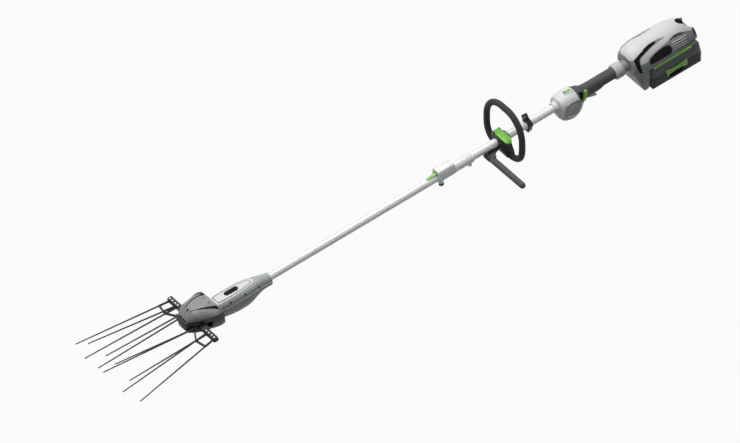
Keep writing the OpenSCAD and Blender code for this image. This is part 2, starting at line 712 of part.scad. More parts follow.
module switch_housing_left() {
    color(white) difference() {
        skin(HOUSING, 16, 90, 270);
        housing_cuts();
        panel_prism(seat);
        lock_notch();
        yrod(housing_x + 100, -12, -30, -9, 2 + eps);
    }
}

module switch_housing_right() {
    color(white) difference() {
        skin(HOUSING, 16, -90, 90);
        housing_cuts();
        panel_prism(seat);
    }
}

module side_panels() {
    color(mid_grey) intersection() {
        skin(HOUSING, 32, 90, 450, -0.7);
        panel_prism(0);
        union() {
            box([housing_x, 29.2, -90], [housing_x + 120, 90, 90]);
            box([housing_x, -90, -90], [housing_x + 120, -29.2, 90]);
        }
    }
}

module display_panel() {
    color(black) difference() {
        box([housing_x + 43, -9, 27.1], [housing_x + 73, 9, 34]);
        translate([housing_x + 66, 0, 20]) cylinder(h = 40, r = 4 + gap);
    }
}

module mode_button() {
    color(green) translate([housing_x + 66, 0, 29.8]) cylinder(h = 5.4, r = 4);
}

module switch_module() {
    color(black) box([housing_x + 49, -9, -44], [housing_x + 83, 9, -16]);
}

module grip_cuts() {
    xrod(housing_x + 90, housing_x + 240, upper_r + seat / 2);
    box([housing_x + 98, -6.2, -60], [housing_x + 162, 6.2, -13.4]);
    yrod(housing_x + 114, -21, -30, 30, 2 + eps);
}

module grip_left() {
    color(dark_grey) difference() {
        skin(GRIP, 14, 90, 270);
        grip_cuts();
        lock_notch();
        yrod(housing_x + 100, -12, -30, -9, 2 + eps);
    }
}

module grip_right() {
    color(dark_grey) difference() {
        skin(GRIP, 14, -90, 90);
        grip_cuts();
    }
}

module trigger() {
    color(green) difference() {
        union() {
            yrod(housing_x + 114, -21, -5.8, 5.8, 4.4);
            side_prism([[housing_x + 112, -25], [housing_x + 118, -30], [housing_x + 130, -34.5], [housing_x + 150, -41], [housing_x + 156, -42],
                [housing_x + 157, -38], [housing_x + 146, -31], [housing_x + 134, -25], [housing_x + 124, -19.5], [housing_x + 116, -17]], -5.8, 5.8);
        }
        yrod(housing_x + 114, -21, -10, 10, 2 + run);
    }
}

module lock_lever() {
    color(green) difference() {
        union() {
            yrod(housing_x + 100, -12, -26, -19, 4.6);
            side_prism([[housing_x + 95.6, -13], [housing_x + 97, -2], [housing_x + 101, 10], [housing_x + 103, 19], [housing_x + 107, 22.5],
                [housing_x + 112, 21], [housing_x + 114.5, 15], [housing_x + 113, 6], [housing_x + 107, -3], [housing_x + 104.4, -13]], -26, -19);
        }
        yrod(housing_x + 100, -12, -40, 0, 2 + run);
    }
}

module hinge_pins() {
    color(steel) union() {
        yrod(22, 20, -11, 11, 2);
    }
    color(steel) yrod(housing_x + 114, -21, -14, 14, 2);
    color(steel) yrod(housing_x + 100, -12, -25.6, -14, 2);
}

collar_x = housing_x + 225.2;
module grip_collar() {
    color(white) difference() {
        union() {
            xrod(collar_x, collar_x + 4, 22.5, 0, 0, 25);
            xrod(collar_x + 4 - eps, collar_x + 27, 25);
            xrod(collar_x + 27 - eps, collar_x + 31, 25, 0, 0, 22);
        }
        xrod(collar_x - 5, collar_x + 50, upper_r + seat / 2);
    }
}

// Power head

module motor_room() {
    xrod(690, pole_end + 1, upper_r + seat / 2);
    xrod(718, 744.4, 34 + seat / 2);
    xrod(705, 760, 9);
    box([768, -36, 9], [896, 36, 35]);
}

module power_shell(d = 0) {
    skin(POWER, 36, 0, 360, d);
}

module badge_prism(d) {
    both_sides() translate([0, 46 - d, 0]) side_prism(BADGE, 0, 40);
}

module intake_prism(y0) {
    both_sides() translate([0, y0, 0]) side_prism(INTAKE, 0, 70);
}

module button_pocket(d) {
    box([901 - d, -13.5 - d, 36 - d], [922 + d, 13.5 + d, 80]);
}

module bumper_prism(d) {
    both_sides() box([934 - d, 29 - d, 9 - d], [955, 50, 26 + d]);
}

// Step down behind the release button.
module rear_step() {
    side_prism([[922.6, 90], [922.6, 37], [927, 32.5], [955, 29], [955, 90]], -80, 80);
}

module rear_top_shell() {
    color(white) difference() {
        intersection() {
            power_shell();
            side_prism(TOP_LINE, -80, 80);
        }
        motor_room();
        button_pocket(gap);
        bumper_prism(seat);
        rear_step();
    }
}

module chin() {
    intersection() {
        side_prism([[709, 0], [711, -20], [722, -58], [733, -86], [738, -92], [746, -93], [751.5, -87], [751.5, 0]], -80, 80);
        long_prism([[-60, 0], [-60, -12], [-56, -50], [-48, -88], [-44, -93], [44, -93], [48, -88], [56, -50], [60, -12], [60, 0]], 700, 760);
        translate([0, 0, -100]) linear_extrude(height = 120)
            polygon([[709, -34], [709, 34], [718, 50], [732, 58], [752, 60.5], [752, -60.5], [732, -58], [718, -50]]);
    }
}

rail_z = -6;
// Height and depth of each louvre slot: [height at its front, inner face]
LOUVRES = [[9, 52], [15.2, 50], [21.4, 47.5], [27.6, 44.5], [33.8, 40.5], [40, 35]];
module rear_lower_housing() {
    color(mid_grey) difference() {
        union() {
            intersection() {
                power_shell();
                box([700, -80, rail_z], [950, 80, 90]);
            }
            chin();
            xrod(collar_x + 31.2, 716, 19);
        }
        side_prism(TOP_LINE, -80, 80);
        motor_room();
        intake_prism(21);
        badge_prism(seat);
        bumper_prism(seat);
        rear_step();
        button_pocket(gap);
        box([751.6, -26 - gap, -20], [960, 26 + gap, 0.2 + gap]);
        box([751.6, -34 - gap, -1.6 - gap], [960, 34 + gap, 5 + gap]);
        for (q = LOUVRES) both_sides()
            side_prism([[850, q[0]], [850, q[0] + 3], [903, q[0] - 4], [903, q[0] - 7]], q[1] + 4 - vent_depth, 75);
    }
}

module side_intakes() {
    color(black) difference() {
        intersection() {
            power_shell(-2.5);
            intake_prism(21.2);
            box([700, -80, -10], [820, 80, 90]);
        }
        motor_room();
    }
}

module badge_plates() {
    color(black) intersection() {
        power_shell(0.5);
        badge_prism(0);
    }
}

module release_button() {
    color(black) difference() {
        intersection() {
            button_pocket(0);
            side_prism([[901, 40], [901, 54], [905, 55.4], [911, 54], [917, 50], [922, 43.6], [922, 40]], -20, 20);
        }
        box([800, -20, 30], [960, 20, 40]);
    }
}

module rear_bumpers() {
    color(black) intersection() {
        bumper_prism(0);
        power_shell(0.4);
    }
}

module motor_stator() {
    color([0.6, 0.36, 0.2]) difference() {
        xrod(719, 736, 34);
        xrod(718, 737, 20.5);
        for (a = [30 : 60 : 359]) rotate([a, 0, 0]) box([718, -5, 22], [737, 5, 30]);
    }
}

module motor_rotor() {
    color(steel) difference() {
        union() {
            xrod(719.4, 735.6, 20);
            xrod(735, 738, 12);
            xrod(737.4, 739, 29);
            for (a = [0 : 40 : 359]) rotate([a, 0, 0]) box([738.5, -1, 11], [743.6, 1, 28.5]);
        }
        xrod(700, 760, shaft_r + eps);
    }
}

module controller_board() {
    color([0.1, 0.35, 0.2]) union() {
        box([770, -34, 9], [894, 34, 11]);
        for (x = [778, 802, 826]) box([x, -24, 10.9], [x + 16, 24, 22]);
        for (x = [856, 878]) translate([x, 0, 10.9]) cylinder(h = 18, r = 8);
    }
}

// Battery

module battery_body(z0, z1) {
    top = rail_z - gap;
    intersection() {
        translate([0, 0, z0]) linear_extrude(height = z1 - z0)
            polygon([[752, -44], [768, -60], [battery_end - 18, -60], [battery_end, -44], [battery_end, 44], [battery_end - 18, 60], [768, 60], [752, 44]]);
        side_prism([[752, top - 4], [752, -80], [762, -battery_depth], [battery_end - 12, -battery_depth], [battery_end, -72],
            [battery_end - 15, top - 5], [battery_end - 19, top], [756, top]], -80, 80);
        long_prism([[-60, 20], [-60, 10 - battery_depth], [-52, -battery_depth], [52, -battery_depth], [60, 10 - battery_depth], [60, 20]], 700, 1000);
    }
}

GRIP_BAR = [[810, -42], [824, -47], [848, -49], [872, -47], [886, -42], [889, -46], [886, -68], [872, -64], [848, -61], [824, -64], [811, -68], [807, -46]];
module bar_prism(d) {
    both_sides() translate([0, 55 - d, 0]) side_prism(GRIP_BAR, 0, 8);
}

module battery_case() {
    color(black) difference() {
        battery_body(-battery_depth, -50);
        bar_prism(seat);
        both_sides() side_prism([[818, -64], [878, -64], [870, -82], [826, -82]], 51, 70);
    }
}

module battery_bezel() {
    color(dark_grey) difference() {
        union() {
            battery_body(-50, rail_z);
            box([752.4, -26, rail_z - 2], [battery_end - 24, 26, 0]);
            box([752.4, -34, -1.2], [battery_end - 24, 34, 5]);
        }
        bar_prism(seat);
        trim_prism(seat);
    }
}

module trim_prism(d) {
    both_sides() box([768 - d, 57 - d, rail_z - gap - 4 - d], [906 + d, 61, 10]);
}

module battery_trim() {
    color(green) both_sides() box([768, 57, rail_z - gap - 4], [906, 60.6, rail_z - gap]);
    color(green) bar_prism(0);
}

lower_pole();
lower_bushes();
neck_upper_shell();
neck_lower_shell();
neck_top_panel();
neck_badge_plate();
neck_screws();
gear_bearings();
head_upper_cover();
head_lower_cover();
head_nose_bumper();
head_screws();
rake_pins();
lower_drive_shaft();
crank_gear();
crank_shaft();
rake_hub_left();
rake_comb_left();
rake_tines_left();
rake_hub_right();
rake_comb_right();
rake_tines_right();
coupler_sleeve();
coupler_cover();
release_lever();
coupler_knob();
pole_bolts();
upper_pole();
upper_bushes();
upper_drive_shaft();
strap_ring();
loop_grip();
clamp_base();
clamp_lever();
clamp_pin();
barrier_bar();
switch_housing_left();
switch_housing_right();
side_panels();
display_panel();
mode_button();
grip_left();
grip_right();
trigger();
lock_lever();
hinge_pins();
switch_module();
grip_collar();
rear_top_shell();
rear_lower_housing();
side_intakes();
badge_plates();
release_button();
rear_bumpers();
motor_stator();
motor_rotor();
controller_board();
battery_case();
battery_bezel();
battery_trim();
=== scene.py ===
"""Looks of a battery pole harvester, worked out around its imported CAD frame.

The file is laid out as an add-on and run as a script. Every piece is a surface worked out as whole
arrays in millimetres, in the frame of the CAD part, and turned to metres where its mesh is made.
"""

import json

import bmesh
import bpy
import numpy as np
from mathutils import Matrix, Vector

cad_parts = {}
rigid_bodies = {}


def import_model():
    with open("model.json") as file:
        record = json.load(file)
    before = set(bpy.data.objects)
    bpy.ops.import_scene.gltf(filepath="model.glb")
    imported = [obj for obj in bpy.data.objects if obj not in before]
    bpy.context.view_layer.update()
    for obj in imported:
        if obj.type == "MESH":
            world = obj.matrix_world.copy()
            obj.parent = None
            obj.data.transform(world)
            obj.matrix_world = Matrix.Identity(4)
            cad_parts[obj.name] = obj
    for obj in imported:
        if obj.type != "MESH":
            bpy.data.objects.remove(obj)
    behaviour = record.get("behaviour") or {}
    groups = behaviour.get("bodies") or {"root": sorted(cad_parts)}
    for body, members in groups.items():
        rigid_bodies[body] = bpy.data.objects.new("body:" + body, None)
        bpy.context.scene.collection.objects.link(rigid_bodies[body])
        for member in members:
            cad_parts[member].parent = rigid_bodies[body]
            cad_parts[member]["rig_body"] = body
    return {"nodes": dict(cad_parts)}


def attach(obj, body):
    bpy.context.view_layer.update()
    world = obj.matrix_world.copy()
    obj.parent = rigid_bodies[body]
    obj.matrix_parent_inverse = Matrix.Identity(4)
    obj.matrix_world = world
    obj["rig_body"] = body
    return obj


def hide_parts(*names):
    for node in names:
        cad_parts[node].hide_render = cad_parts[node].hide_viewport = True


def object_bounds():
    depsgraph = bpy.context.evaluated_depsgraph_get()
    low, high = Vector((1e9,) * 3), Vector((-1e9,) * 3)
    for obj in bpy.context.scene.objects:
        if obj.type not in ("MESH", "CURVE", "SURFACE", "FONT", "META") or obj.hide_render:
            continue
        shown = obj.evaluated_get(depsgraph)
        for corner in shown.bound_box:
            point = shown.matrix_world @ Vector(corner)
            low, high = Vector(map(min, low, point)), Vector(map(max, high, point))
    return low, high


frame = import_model()
CAD_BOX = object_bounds()
NODES = frame["nodes"]
MM = 0.001

# Angle in degrees above which edges are rounded and shaded sharp, faces across a rounding, and the
# shading angle of copies from the CAD
EDGE_ANGLE = 32.0
EDGE_STEPS = 2
COPY_ANGLE = 38.0
# Slope above which a path is framed by the x direction instead of z
STEEP = 0.9
# Distance from the middle plane that lies outside every piece
OUTSIDE = 80.0

bl_info = {
    "name": "Pole harvester looks",
    "version": (1, 0, 0),
    "blender": (4, 5, 0),
    "location": "View3D > Sidebar > Harvester",
    "description": "Shells, handles, rakes and finishes of a battery pole harvester",
    "category": "Object",
}


# Arrays and meshes


def smooth_curve(x, y, at):
    """Monotone cubic through the points (x, y): Hermite pieces whose slopes are the harmonic mean of
    the two neighbouring chords, and zero where the chords change sign."""
    step = np.diff(x)
    chord = np.diff(y) / step
    slope = np.zeros(len(y))
    same = chord[:-1] * chord[1:] > 0
    before = np.where(same, chord[:-1], 1.0)
    after = np.where(same, chord[1:], 1.0)
    weight_a = 2 * step[1:] + step[:-1]
    weight_b = step[1:] + 2 * step[:-1]
    mean = (weight_a + weight_b) / (weight_a / before + weight_b / after)
    slope[1:-1] = np.where(same, mean, 0.0)
    slope[0] = chord[0]
    slope[-1] = chord[-1]
    i = np.clip(np.searchsorted(x, at) - 1, 0, len(x) - 2)
    t = (at - x[i]) / step[i]
    rise = (3 - 2 * t) * t * t
    return (
        (1 - rise) * y[i]
        + rise * y[i + 1]
        + step[i] * t * (1 - t) ** 2 * slope[i]
        - step[i] * t * t * (1 - t) * slope[i + 1]
    )


def spline(points, count):
    """Points along a smooth line through the given ones, each coordinate a monotone cubic of the
    length along the chords."""
    points = np.asarray(points, float)
    length = np.r_[0, np.cumsum(np.linalg.norm(np.diff(points, axis=0), axis=1))]
    at = np.linspace(0, length[-1], count)
    return np.stack([smooth_curve(length, c, at) for c in points.T], axis=1)


def section(stations, x):
    """Half width, top, bottom, height of the widest line and squareness of a shell at x."""
    st = np.asarray(stations, float)
    return [smooth_curve(st[:, 0], column, x) for column in st.T[1:]]


def shell(stations, a0=0.0, a1=360.0, *, rows, cols, grow=0.0):
    """Rounded shell: at each x the section is y = w sign(cos a)|cos a|^(2/n) and z = mid + h sign(sin a)
    |sin a|^(2/n), and w, top, bottom, mid and n run smoothly through the stations."""
    st = np.asarray(stations, float)
    x = np.interp(np.linspace(0, len(st) - 1, rows), np.arange(len(st)), st[:, 0])
    w, top, low, mid, n = (value[:, None] for value in section(st, x))
    whole = abs(a1 - a0 - 360) < 1e-6
    a = np.radians(np.linspace(a0, a1, cols, endpoint=not whole))[None, :]
    c = np.sign(np.cos(a)) * np.abs(np.cos(a)) ** (2 / n)
    s = np.sign(np.sin(a)) * np.abs(np.sin(a)) ** (2 / n)
    z = mid + np.where(s >= 0, (top + grow - mid) * s, (mid - low + grow) * s)
    return np.stack([np.broadcast_to(x[:, None], z.shape), (w + grow) * c, z], axis=2)


def tube(path, section):
    """Solid of a closed section (offsets across and up) carried along a path; the frame at each point
    is the tangent, the side across the reference direction and their product."""
    path = np.asarray(path, float)
    along = np.gradient(path, axis=0)
    along /= np.linalg.norm(along, axis=1)[:, None]
    ref = np.array([0.0, 0.0, 1.0])
    if abs(along[:, 2]).max() > STEEP:
        ref = np.array([1.0, 0.0, 0.0])
    side = np.cross(ref, along)
    side /= np.linalg.norm(side, axis=1)[:, None]
    up = np.cross(along, side)
    points = path[:, None, :] + section[:, :1] * side[:, None, :] + section[:, 1:] * up[:, None, :]
    return grid_solid(points)


def ring(radius, cols):
    """Circle of offsets."""
    a = np.linspace(0, 2 * np.pi, cols, endpoint=False)
    return radius * np.stack([np.cos(a), np.sin(a)], axis=1)


def lathe(profile, cols=64):
    """Solid of profile rows (x, radius r) turned about the x axis: y = r cos a, z = r sin a."""
    profile = np.asarray(profile, float)
    out = np.zeros((len(profile), cols, 3))
    out[..., 0] = profile[:, :1]
    out[..., 1:] = profile[:, 1:, None] * ring(1.0, cols)
    return grid_solid(out)


def rounded(profile, radius, steps=5):
    """Profile with each inner corner cut by a quadratic arc that starts radius before the corner."""
    p = np.asarray(profile, float)
    out = [p[0]]
    for a, b, c in zip(p[:-2], p[1:-1], p[2:]):
        u = (a - b) / np.linalg.norm(a - b)
        v = (c - b) / np.linalg.norm(c - b)
        r = min(radius, 0.45 * np.linalg.norm(a - b), 0.45 * np.linalg.norm(c - b))
        t = np.linspace(0, 1, steps)[:, None]
        out.extend((1 - t) ** 2 * (b + r * u) + 2 * t * (1 - t) * b + t * t * (b + r * v))
    out.append(p[-1])
    return np.array(out)


def closed_rounded(outline, radius, steps=5):
    """Closed outline with every corner rounded."""
    p = np.asarray(outline, float)
    p = np.vstack([(p[-1] + p[0]) / 2, p, (p[-1] + p[0]) / 2])
    return rounded(p, radius, steps)[:-1]


def grid_solid(points, closed=False):
    """Vertices and faces of a grid closed round its columns; its rows are closed to a ring too, or end
    in flat faces."""
    rows, cols = points.shape[:2]
    i = np.arange(rows if closed else rows - 1)[:, None] * cols
    p = (i + cols) % (rows * cols)
    j = np.arange(cols)[None, :]
    k = (j + 1) % cols
    quads = np.stack([i + j, i + k, p + k, p + j], axis=2).reshape(-1, 4)
    ends = [] if closed else [list(range(cols))[::-1], list(range((rows - 1) * cols, rows * cols))]
    return points.reshape(-1, 3), quads.tolist() + ends


def prism(outline, lo, hi, plane):
    """Outline in a plane (xy, xz or yz) drawn out along the third direction from lo to hi."""
    p = np.asarray(outline, float)
    a, b = ("xyz".index(c) for c in plane)
    c = 3 - a - b
    out = np.zeros((2, len(p), 3))
    out[:, :, a] = p[:, 0]
    out[:, :, b] = p[:, 1]
    out[0, :, c] = lo
    out[1, :, c] = hi
    return grid_solid(out)


def block(lo, hi):
    """Box from corner to corner."""
    (x0, y0, z0), (x1, y1, z1) = lo, hi
    return prism([(x0, y0), (x1, y0), (x1, y1), (x0, y1)], z0, z1, "xy")


def rod(a, b, radius, cols=32):
    """Straight round rod from a to b."""
    path = np.linspace(np.asarray(a, float), np.asarray(b, float), 3)
    return tube(path, ring(radius, cols))


def bore(start, end, radius, cols=32):
    """Rod along the axis of the poles, from one x to another."""
    return rod((start, 0, 0), (end, 0, 0), radius, cols)


def resized(outline, middle, factors):
    """Outline stretched about a middle point."""
    return middle + (np.asarray(outline, float) - middle) * factors


def ramp(value, start, length):
    """0 up to start, 1 from start + length on, and straight between them."""
    return np.clip((value - start) / length, 0, 1)


def join(*shapes):
    """Several shapes as one list of vertices and faces."""
    verts = []
    faces = []
    for v, f in shapes:
        base = sum(len(x) for x in verts)
        verts.append(np.asarray(v, float))
        faces.extend([[base + k for k in face] for face in f])
    return np.vstack(verts), faces


def mirrored(shape):
    """The shape and its mirror image across the middle plane."""
    verts, faces = shape
    other = np.asarray(verts, float) * (1, -1, 1)
    return join(shape, (other, [list(f)[::-1] for f in faces]))


def new_object(name, data):
    """Object in the scene."""
    thing = bpy.data.objects.new(name, data)
    bpy.context.scene.collection.objects.link(thing)
    return thing


def raw_object(name, shape):
    """Object of a shape given in millimetres, with its faces turned outwards."""
    verts, faces = shape
    mesh = bpy.data.meshes.new(name)
    mesh.from_pydata((np.asarray(verts) * MM).tolist(), [], [list(map(int, f)) for f in faces])
    mesh.validate()
    work = bmesh.new()
    work.from_mesh(mesh)
    bmesh.ops.remove_doubles(work, verts=work.verts, dist=1e-7)
    bmesh.ops.recalc_face_normals(work, faces=work.faces)
    work.to_mesh(mesh)
    work.free()
    return new_object(name, mesh)


def moulded(name, *stations, **grid):
    """Object of a rounded shell, from the arguments of shell."""
    return raw_object(name, grid_solid(shell(*stations, **grid)))


def settle(thing):
    """Works out the modifiers of an object and keeps their result as its mesh."""
    bpy.context.view_layer.update()
    graph = bpy.context.evaluated_depsgraph_get()
    mesh = bpy.data.meshes.new_from_object(thing.evaluated_get(graph))
    thing.modifiers.clear()
    old = thing.data
    thing.data = mesh
    bpy.data.meshes.remove(old)
    return thing


def carve(thing, shapes, operation="DIFFERENCE"):
    """Takes shapes from an object."""
    cutters = []
    for shape in shapes:
        cutter = raw_object("cutter", shape)
        cut = thing.modifiers.new("cut", "BOOLEAN")
        cut.operation = operation
        cut.solver = "EXACT"
        cut.object = cutter
        cutters.append(cutter)
    settle(thing)
    for cutter in cutters:
        mesh = cutter.data
        bpy.data.objects.remove(cutter)
        bpy.data.meshes.remove(mesh)
    return thing


def within(thing, shape):
    """Keeps only what lies inside a shape."""
    return carve(thing, [shape], "INTERSECT")


def merge(thing, *others):
    """Adds the meshes of other objects to an object's mesh, as closed bodies of their own."""
    work = bmesh.new()
    work.from_mesh(thing.data)
    for other in others:
        work.from_mesh(other.data)
        mesh = other.data
        bpy.data.objects.remove(other)
        bpy.data.meshes.remove(mesh)
    work.to_mesh(thing.data)
    work.free()
    return thing


def clean(thing, angle):
    """Merges stray points, and shades smooth up to an angle."""
    mesh = thing.data
    work = bmesh.new()
    work.from_mesh(mesh)
    bmesh.ops.remove_doubles(work, verts=work.verts, dist=2e-6)
    bmesh.ops.dissolve_degenerate(work, edges=work.edges, dist=1e-6)
    work.to_mesh(mesh)
    work.free()
    mesh.shade_smooth()
    mesh.set_sharp_from_angle(angle=np.radians(angle))


def soften(thing, width):
    """Rounds the sharp edges of a piece."""
    bevel = thing.modifiers.new("edges", "BEVEL")
    bevel.width = width * MM
    bevel.segments = EDGE_STEPS
    bevel.limit_method = "ANGLE"
    bevel.angle_limit = np.radians(EDGE_ANGLE)
    bevel.use_clamp_overlap = True
    return thing


def ride_along(thing, look, node, angle=EDGE_ANGLE):
    """Cleans a piece, gives it its finish, and lets it move with a CAD node."""
    clean(thing, angle)
    thing.data.materials.clear()
    thing.data.materials.append(FINISH[look])
    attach(thing, NODES[node]["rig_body"])


def dress(thing, look, node, angle=EDGE_ANGLE):
    """The same for a piece that stands for the CAD node."""
    ride_along(thing, look, node, angle)
    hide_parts(node)


def edged(node, look, width):
    """Copy of a CAD node with merged faces and rounded edges, which stands for the node."""
    thing = new_object(node + "_edged", NODES[node].data.copy())
    work = bmesh.new()
    work.from_mesh(thing.data)
    bmesh.ops.remove_doubles(work, verts=work.verts, dist=1e-6)
    bmesh.ops.dissolve_limit(
        work, angle_limit=0.01, verts=work.verts, edges=work.edges, use_dissolve_boundaries=False
    )
    work.to_mesh(thing.data)
    work.free()
    for name in [a.name for a in thing.data.attributes if a.name.startswith("custom_normal")]:
        thing.data.attributes.remove(thing.data.attributes[name])
    settle(soften(thing, width))
    dress(thing, look, node, COPY_ANGLE)


# Finishes

# Spread of the roughness over the noise, and the part of the noise that shades the colour
GLOSS_SPREAD = 0.08
TINT_RANGE = (0.3, 0.7)
# Pointiness over which worn edges turn pale, roughness of the coat, and height of the grain in metres
WEAR_RANGE = (0.52, 0.60)
COAT_ROUGH = 0.15
GRAIN_HEIGHT = 0.0004

# Key, material, colour (a tone of the panel, or red, green and blue), roughness and other settings
LOOKS = [
    ("white", "moulded_white", "white", 0.42, dict(wear=0.1, tint=0.02, shine=0.35)),
    ("panel", "panel_grey", (200, 203, 202), 0.45, dict(wear=0.15, tint=0.03, shine=0.35)),
    ("bar", "bar_grey", (86, 87, 87), 0.6, dict(grain=1200.0, bump=0.3, pores=True, shine=0.25)),
    ("neck", "neck_grey", (178, 182, 182), 0.45, dict(wear=0.15, tint=0.03, shine=0.35)),
    ("grey", "moulded_grey", "grey", 0.45, dict(wear=0.2, shine=0.35)),
    ("cover", "cover_grey", "cover", 0.42, dict(wear=0.2, shine=0.35)),
    # Dark grey is the battery bezel's own colour, and painted shade on the rake head's side band and the neck
    # panel's groove.
    ("dark", "grained_dark", "dark", 0.55, dict(grain=1200.0, bump=0.25, wear=0.15, shine=0.3)),
    ("black", "grained_black", "black", 0.5, dict(grain=1200.0, bump=0.2, wear=0.1, shine=0.25)),
    # Matt black is the release button's and the side intakes' own colour, and painted shade on the louvre and
    # slot floors.
    ("hollow", "matt_black", (16, 16, 17), 0.7, dict(grain=1200.0, bump=0.2, shine=0.1)),
    ("plate", "plate_black", (20, 21, 21), 0.5, dict(bump=0.03, shine=0.08)),
    ("green", "glossy_green", "green", 0.34, dict(grain=500.0, bump=0.05, coat=0.15)),
    ("foam", "foam_black", "foam", 0.7, dict(grain=1500.0, bump=0.5, pores=True, shine=0.25)),
    ("rubber", "soft_rubber", "grip", 0.62, dict(grain=900.0, bump=0.4, pores=True, shine=0.25)),
    ("alu", "drawn_aluminium", "alu", 0.34,
     dict(metal=0.12, tint=0.01, tint_scale=220.0, grain=1500.0, bump=0.01, stretch=(0.02, 1, 1))),
    ("silver", "cast_silver", "alu", 0.42, dict(metal=0.1, tint=0.01, tint_scale=120.0, bump=0.08, wear=0.1)),
    ("steel", "turned_steel", "steel", 0.32, dict(metal=1.0, tint_scale=300.0, grain=1500.0)),
    ("dark_steel", "dark_steel", (44, 45, 46), 0.4,
     dict(metal=0.4, tint_scale=300.0, grain=1500.0, shine=0.3)),
    ("tine", "fibre_rod", "black", 0.4, dict(tint=0.25, tint_scale=900.0, grain=1800.0, shine=0.3)),
    ("winding", "copper_winding", (150, 84, 48), 0.35,
     dict(metal=0.9, tint=0.3, tint_scale=700.0, stretch=(1, 1, 3))),
    ("board", "board_green", (24, 82, 50), 0.4, dict(tint=0.3, tint_scale=250.0)),
    ("screen", "smoked_window", (26, 28, 28), 0.12, dict(coat=0.5, bump=0.02)),
    ("lamp", "lit_green", (120, 205, 70), 0.3, dict(bump=0.02)),
]
FINISH = {}


def linear(*rgb):
    """Colour of 0 to 255 as shown on a screen, in linear light."""
    c = np.asarray(rgb, float) / 255
    return tuple(np.where(c <= 0.04045, c / 12.92, ((c + 0.055) / 1.055) ** 2.4))


def fill(node, **values):
    """Values for the inputs of a shader node, where _ in a name stands for a space."""
    for name, value in values.items():
        node.inputs[name.replace("_", " ")].default_value = value
    return node


def shader(tree, kind, **values):
    """New shader node with values for its inputs."""
    return fill(tree.nodes.new("ShaderNode" + kind), **values)


def finish(name, colour, rough, metal=0.0, tint=0.05, tint_scale=35.0, grain=700.0, bump=0.1,
           stretch=(1.0, 1.0, 1.0), pores=False, wear=0.0, coat=0.0, shine=0.5):
    """Moulded or metal finish: broad noise shades the colour and the gloss, fine noise or cells raise
    the grain, and worn edges are paler by wear."""
    mat = bpy.data.materials.new(name)
    mat.use_nodes = True
    tree = mat.node_tree
    link = tree.links.new
    bsdf = tree.nodes["Principled BSDF"]
    fill(bsdf, Metallic=metal, Specular_IOR_Level=shine, Coat_Weight=coat, Coat_Roughness=COAT_ROUGH)
    mapping = shader(tree, "Mapping", Scale=stretch)
    link(shader(tree, "TexCoord").outputs["Object"], mapping.inputs["Vector"])
    broad = shader(tree, "TexNoise", Scale=tint_scale, Detail=4.0)
    link(mapping.outputs["Vector"], broad.inputs["Vector"])
    shades = shader(tree, "ValToRGB")
    low, high = shades.color_ramp.elements
    low.position, high.position = TINT_RANGE
    low.color = [*(c * (1 - tint) for c in colour), 1]
    high.color = [*(min(1, c * (1 + tint)) for c in colour), 1]
    link(broad.outputs["Fac"], shades.inputs["Fac"])
    colour_out = shades.outputs["Color"]
    if wear:
        edge = shader(tree, "MapRange", From_Min=WEAR_RANGE[0], From_Max=WEAR_RANGE[1], To_Max=wear)
        link(shader(tree, "NewGeometry").outputs["Pointiness"], edge.inputs["Value"])
        pale = shader(tree, "Mix")
        pale.data_type = "RGBA"
        pale.inputs["B"].default_value = [*(min(1, 0.5 * c + 0.3) for c in colour), 1]
        link(edge.outputs["Result"], pale.inputs["Factor"])
        link(colour_out, pale.inputs["A"])
        colour_out = pale.outputs["Result"]
    link(colour_out, bsdf.inputs["Base Color"])
    gloss = shader(tree, "MapRange", To_Min=rough - GLOSS_SPREAD, To_Max=rough + GLOSS_SPREAD)
    link(broad.outputs["Fac"], gloss.inputs["Value"])
    link(gloss.outputs["Result"], bsdf.inputs["Roughness"])
    if pores:
        fine = shader(tree, "TexVoronoi", Scale=grain)
        height = fine.outputs["Distance"]
    else:
        fine = shader(tree, "TexNoise", Scale=grain, Detail=6.0)
        height = fine.outputs["Fac"]
    link(mapping.outputs["Vector"], fine.inputs["Vector"])
    raised = shader(tree, "Bump", Strength=bump, Distance=GRAIN_HEIGHT)
    link(height, raised.inputs["Height"])
    link(raised.outputs["Normal"], bsdf.inputs["Normal"])
    return mat


def make_finishes(tones):
    """The finishes of the harvester, from the table and the colours of the panel."""
    for key, name, colour, rough, settings in LOOKS:
        shade = getattr(tones, colour) if isinstance(colour, str) else linear(*colour)
        FINISH[key] = finish(name, shade, rough, **settings)


def tone(name, description, *rgb):
    """Colour setting of the panel."""
    return bpy.props.FloatVectorProperty(
        name=name, description=description, subtype="COLOR", default=linear(*rgb))


class HarvesterTones(bpy.types.PropertyGroup):
    """Colours of the finishes."""

    white: tone("Shell white", "Light shells", 228, 230, 229)
    grey: tone("Shell grey", "Lower shells of both heads", 142, 147, 146)
    cover: tone("Head cover", "Cover of the rake head", 150, 151, 150)
    # The bezel's own colour; on the rake head's side band and the neck panel's groove it is painted shade.
    dark: tone("Dark grey", "Bezel and side band of the rake head", 88, 89, 91)
    grip: tone("Grip", "Rear grip", 84, 84, 86)
    black: tone("Black", "Black plastic", 38, 39, 39)
    foam: tone("Foam", "Loop handle", 58, 58, 59)
    green: tone("Green", "Levers and trim", 126, 202, 62)
    alu: tone("Aluminium", "Poles and coupler", 236, 238, 239)
    steel: tone("Steel", "Shafts, pins and bolts", 190, 192, 195)


class HarvesterSizes(bpy.types.PropertyGroup):
    """Sizes that only the looks have."""

    edge: bpy.props.FloatProperty(
        name="Edge", description="Rounding of moulded edges", unit="LENGTH", default=0.0012, min=0.0002)
    recess: bpy.props.FloatProperty(
        name="Recess", description="Depth of the side panels", unit="LENGTH", default=0.004, min=0.0)


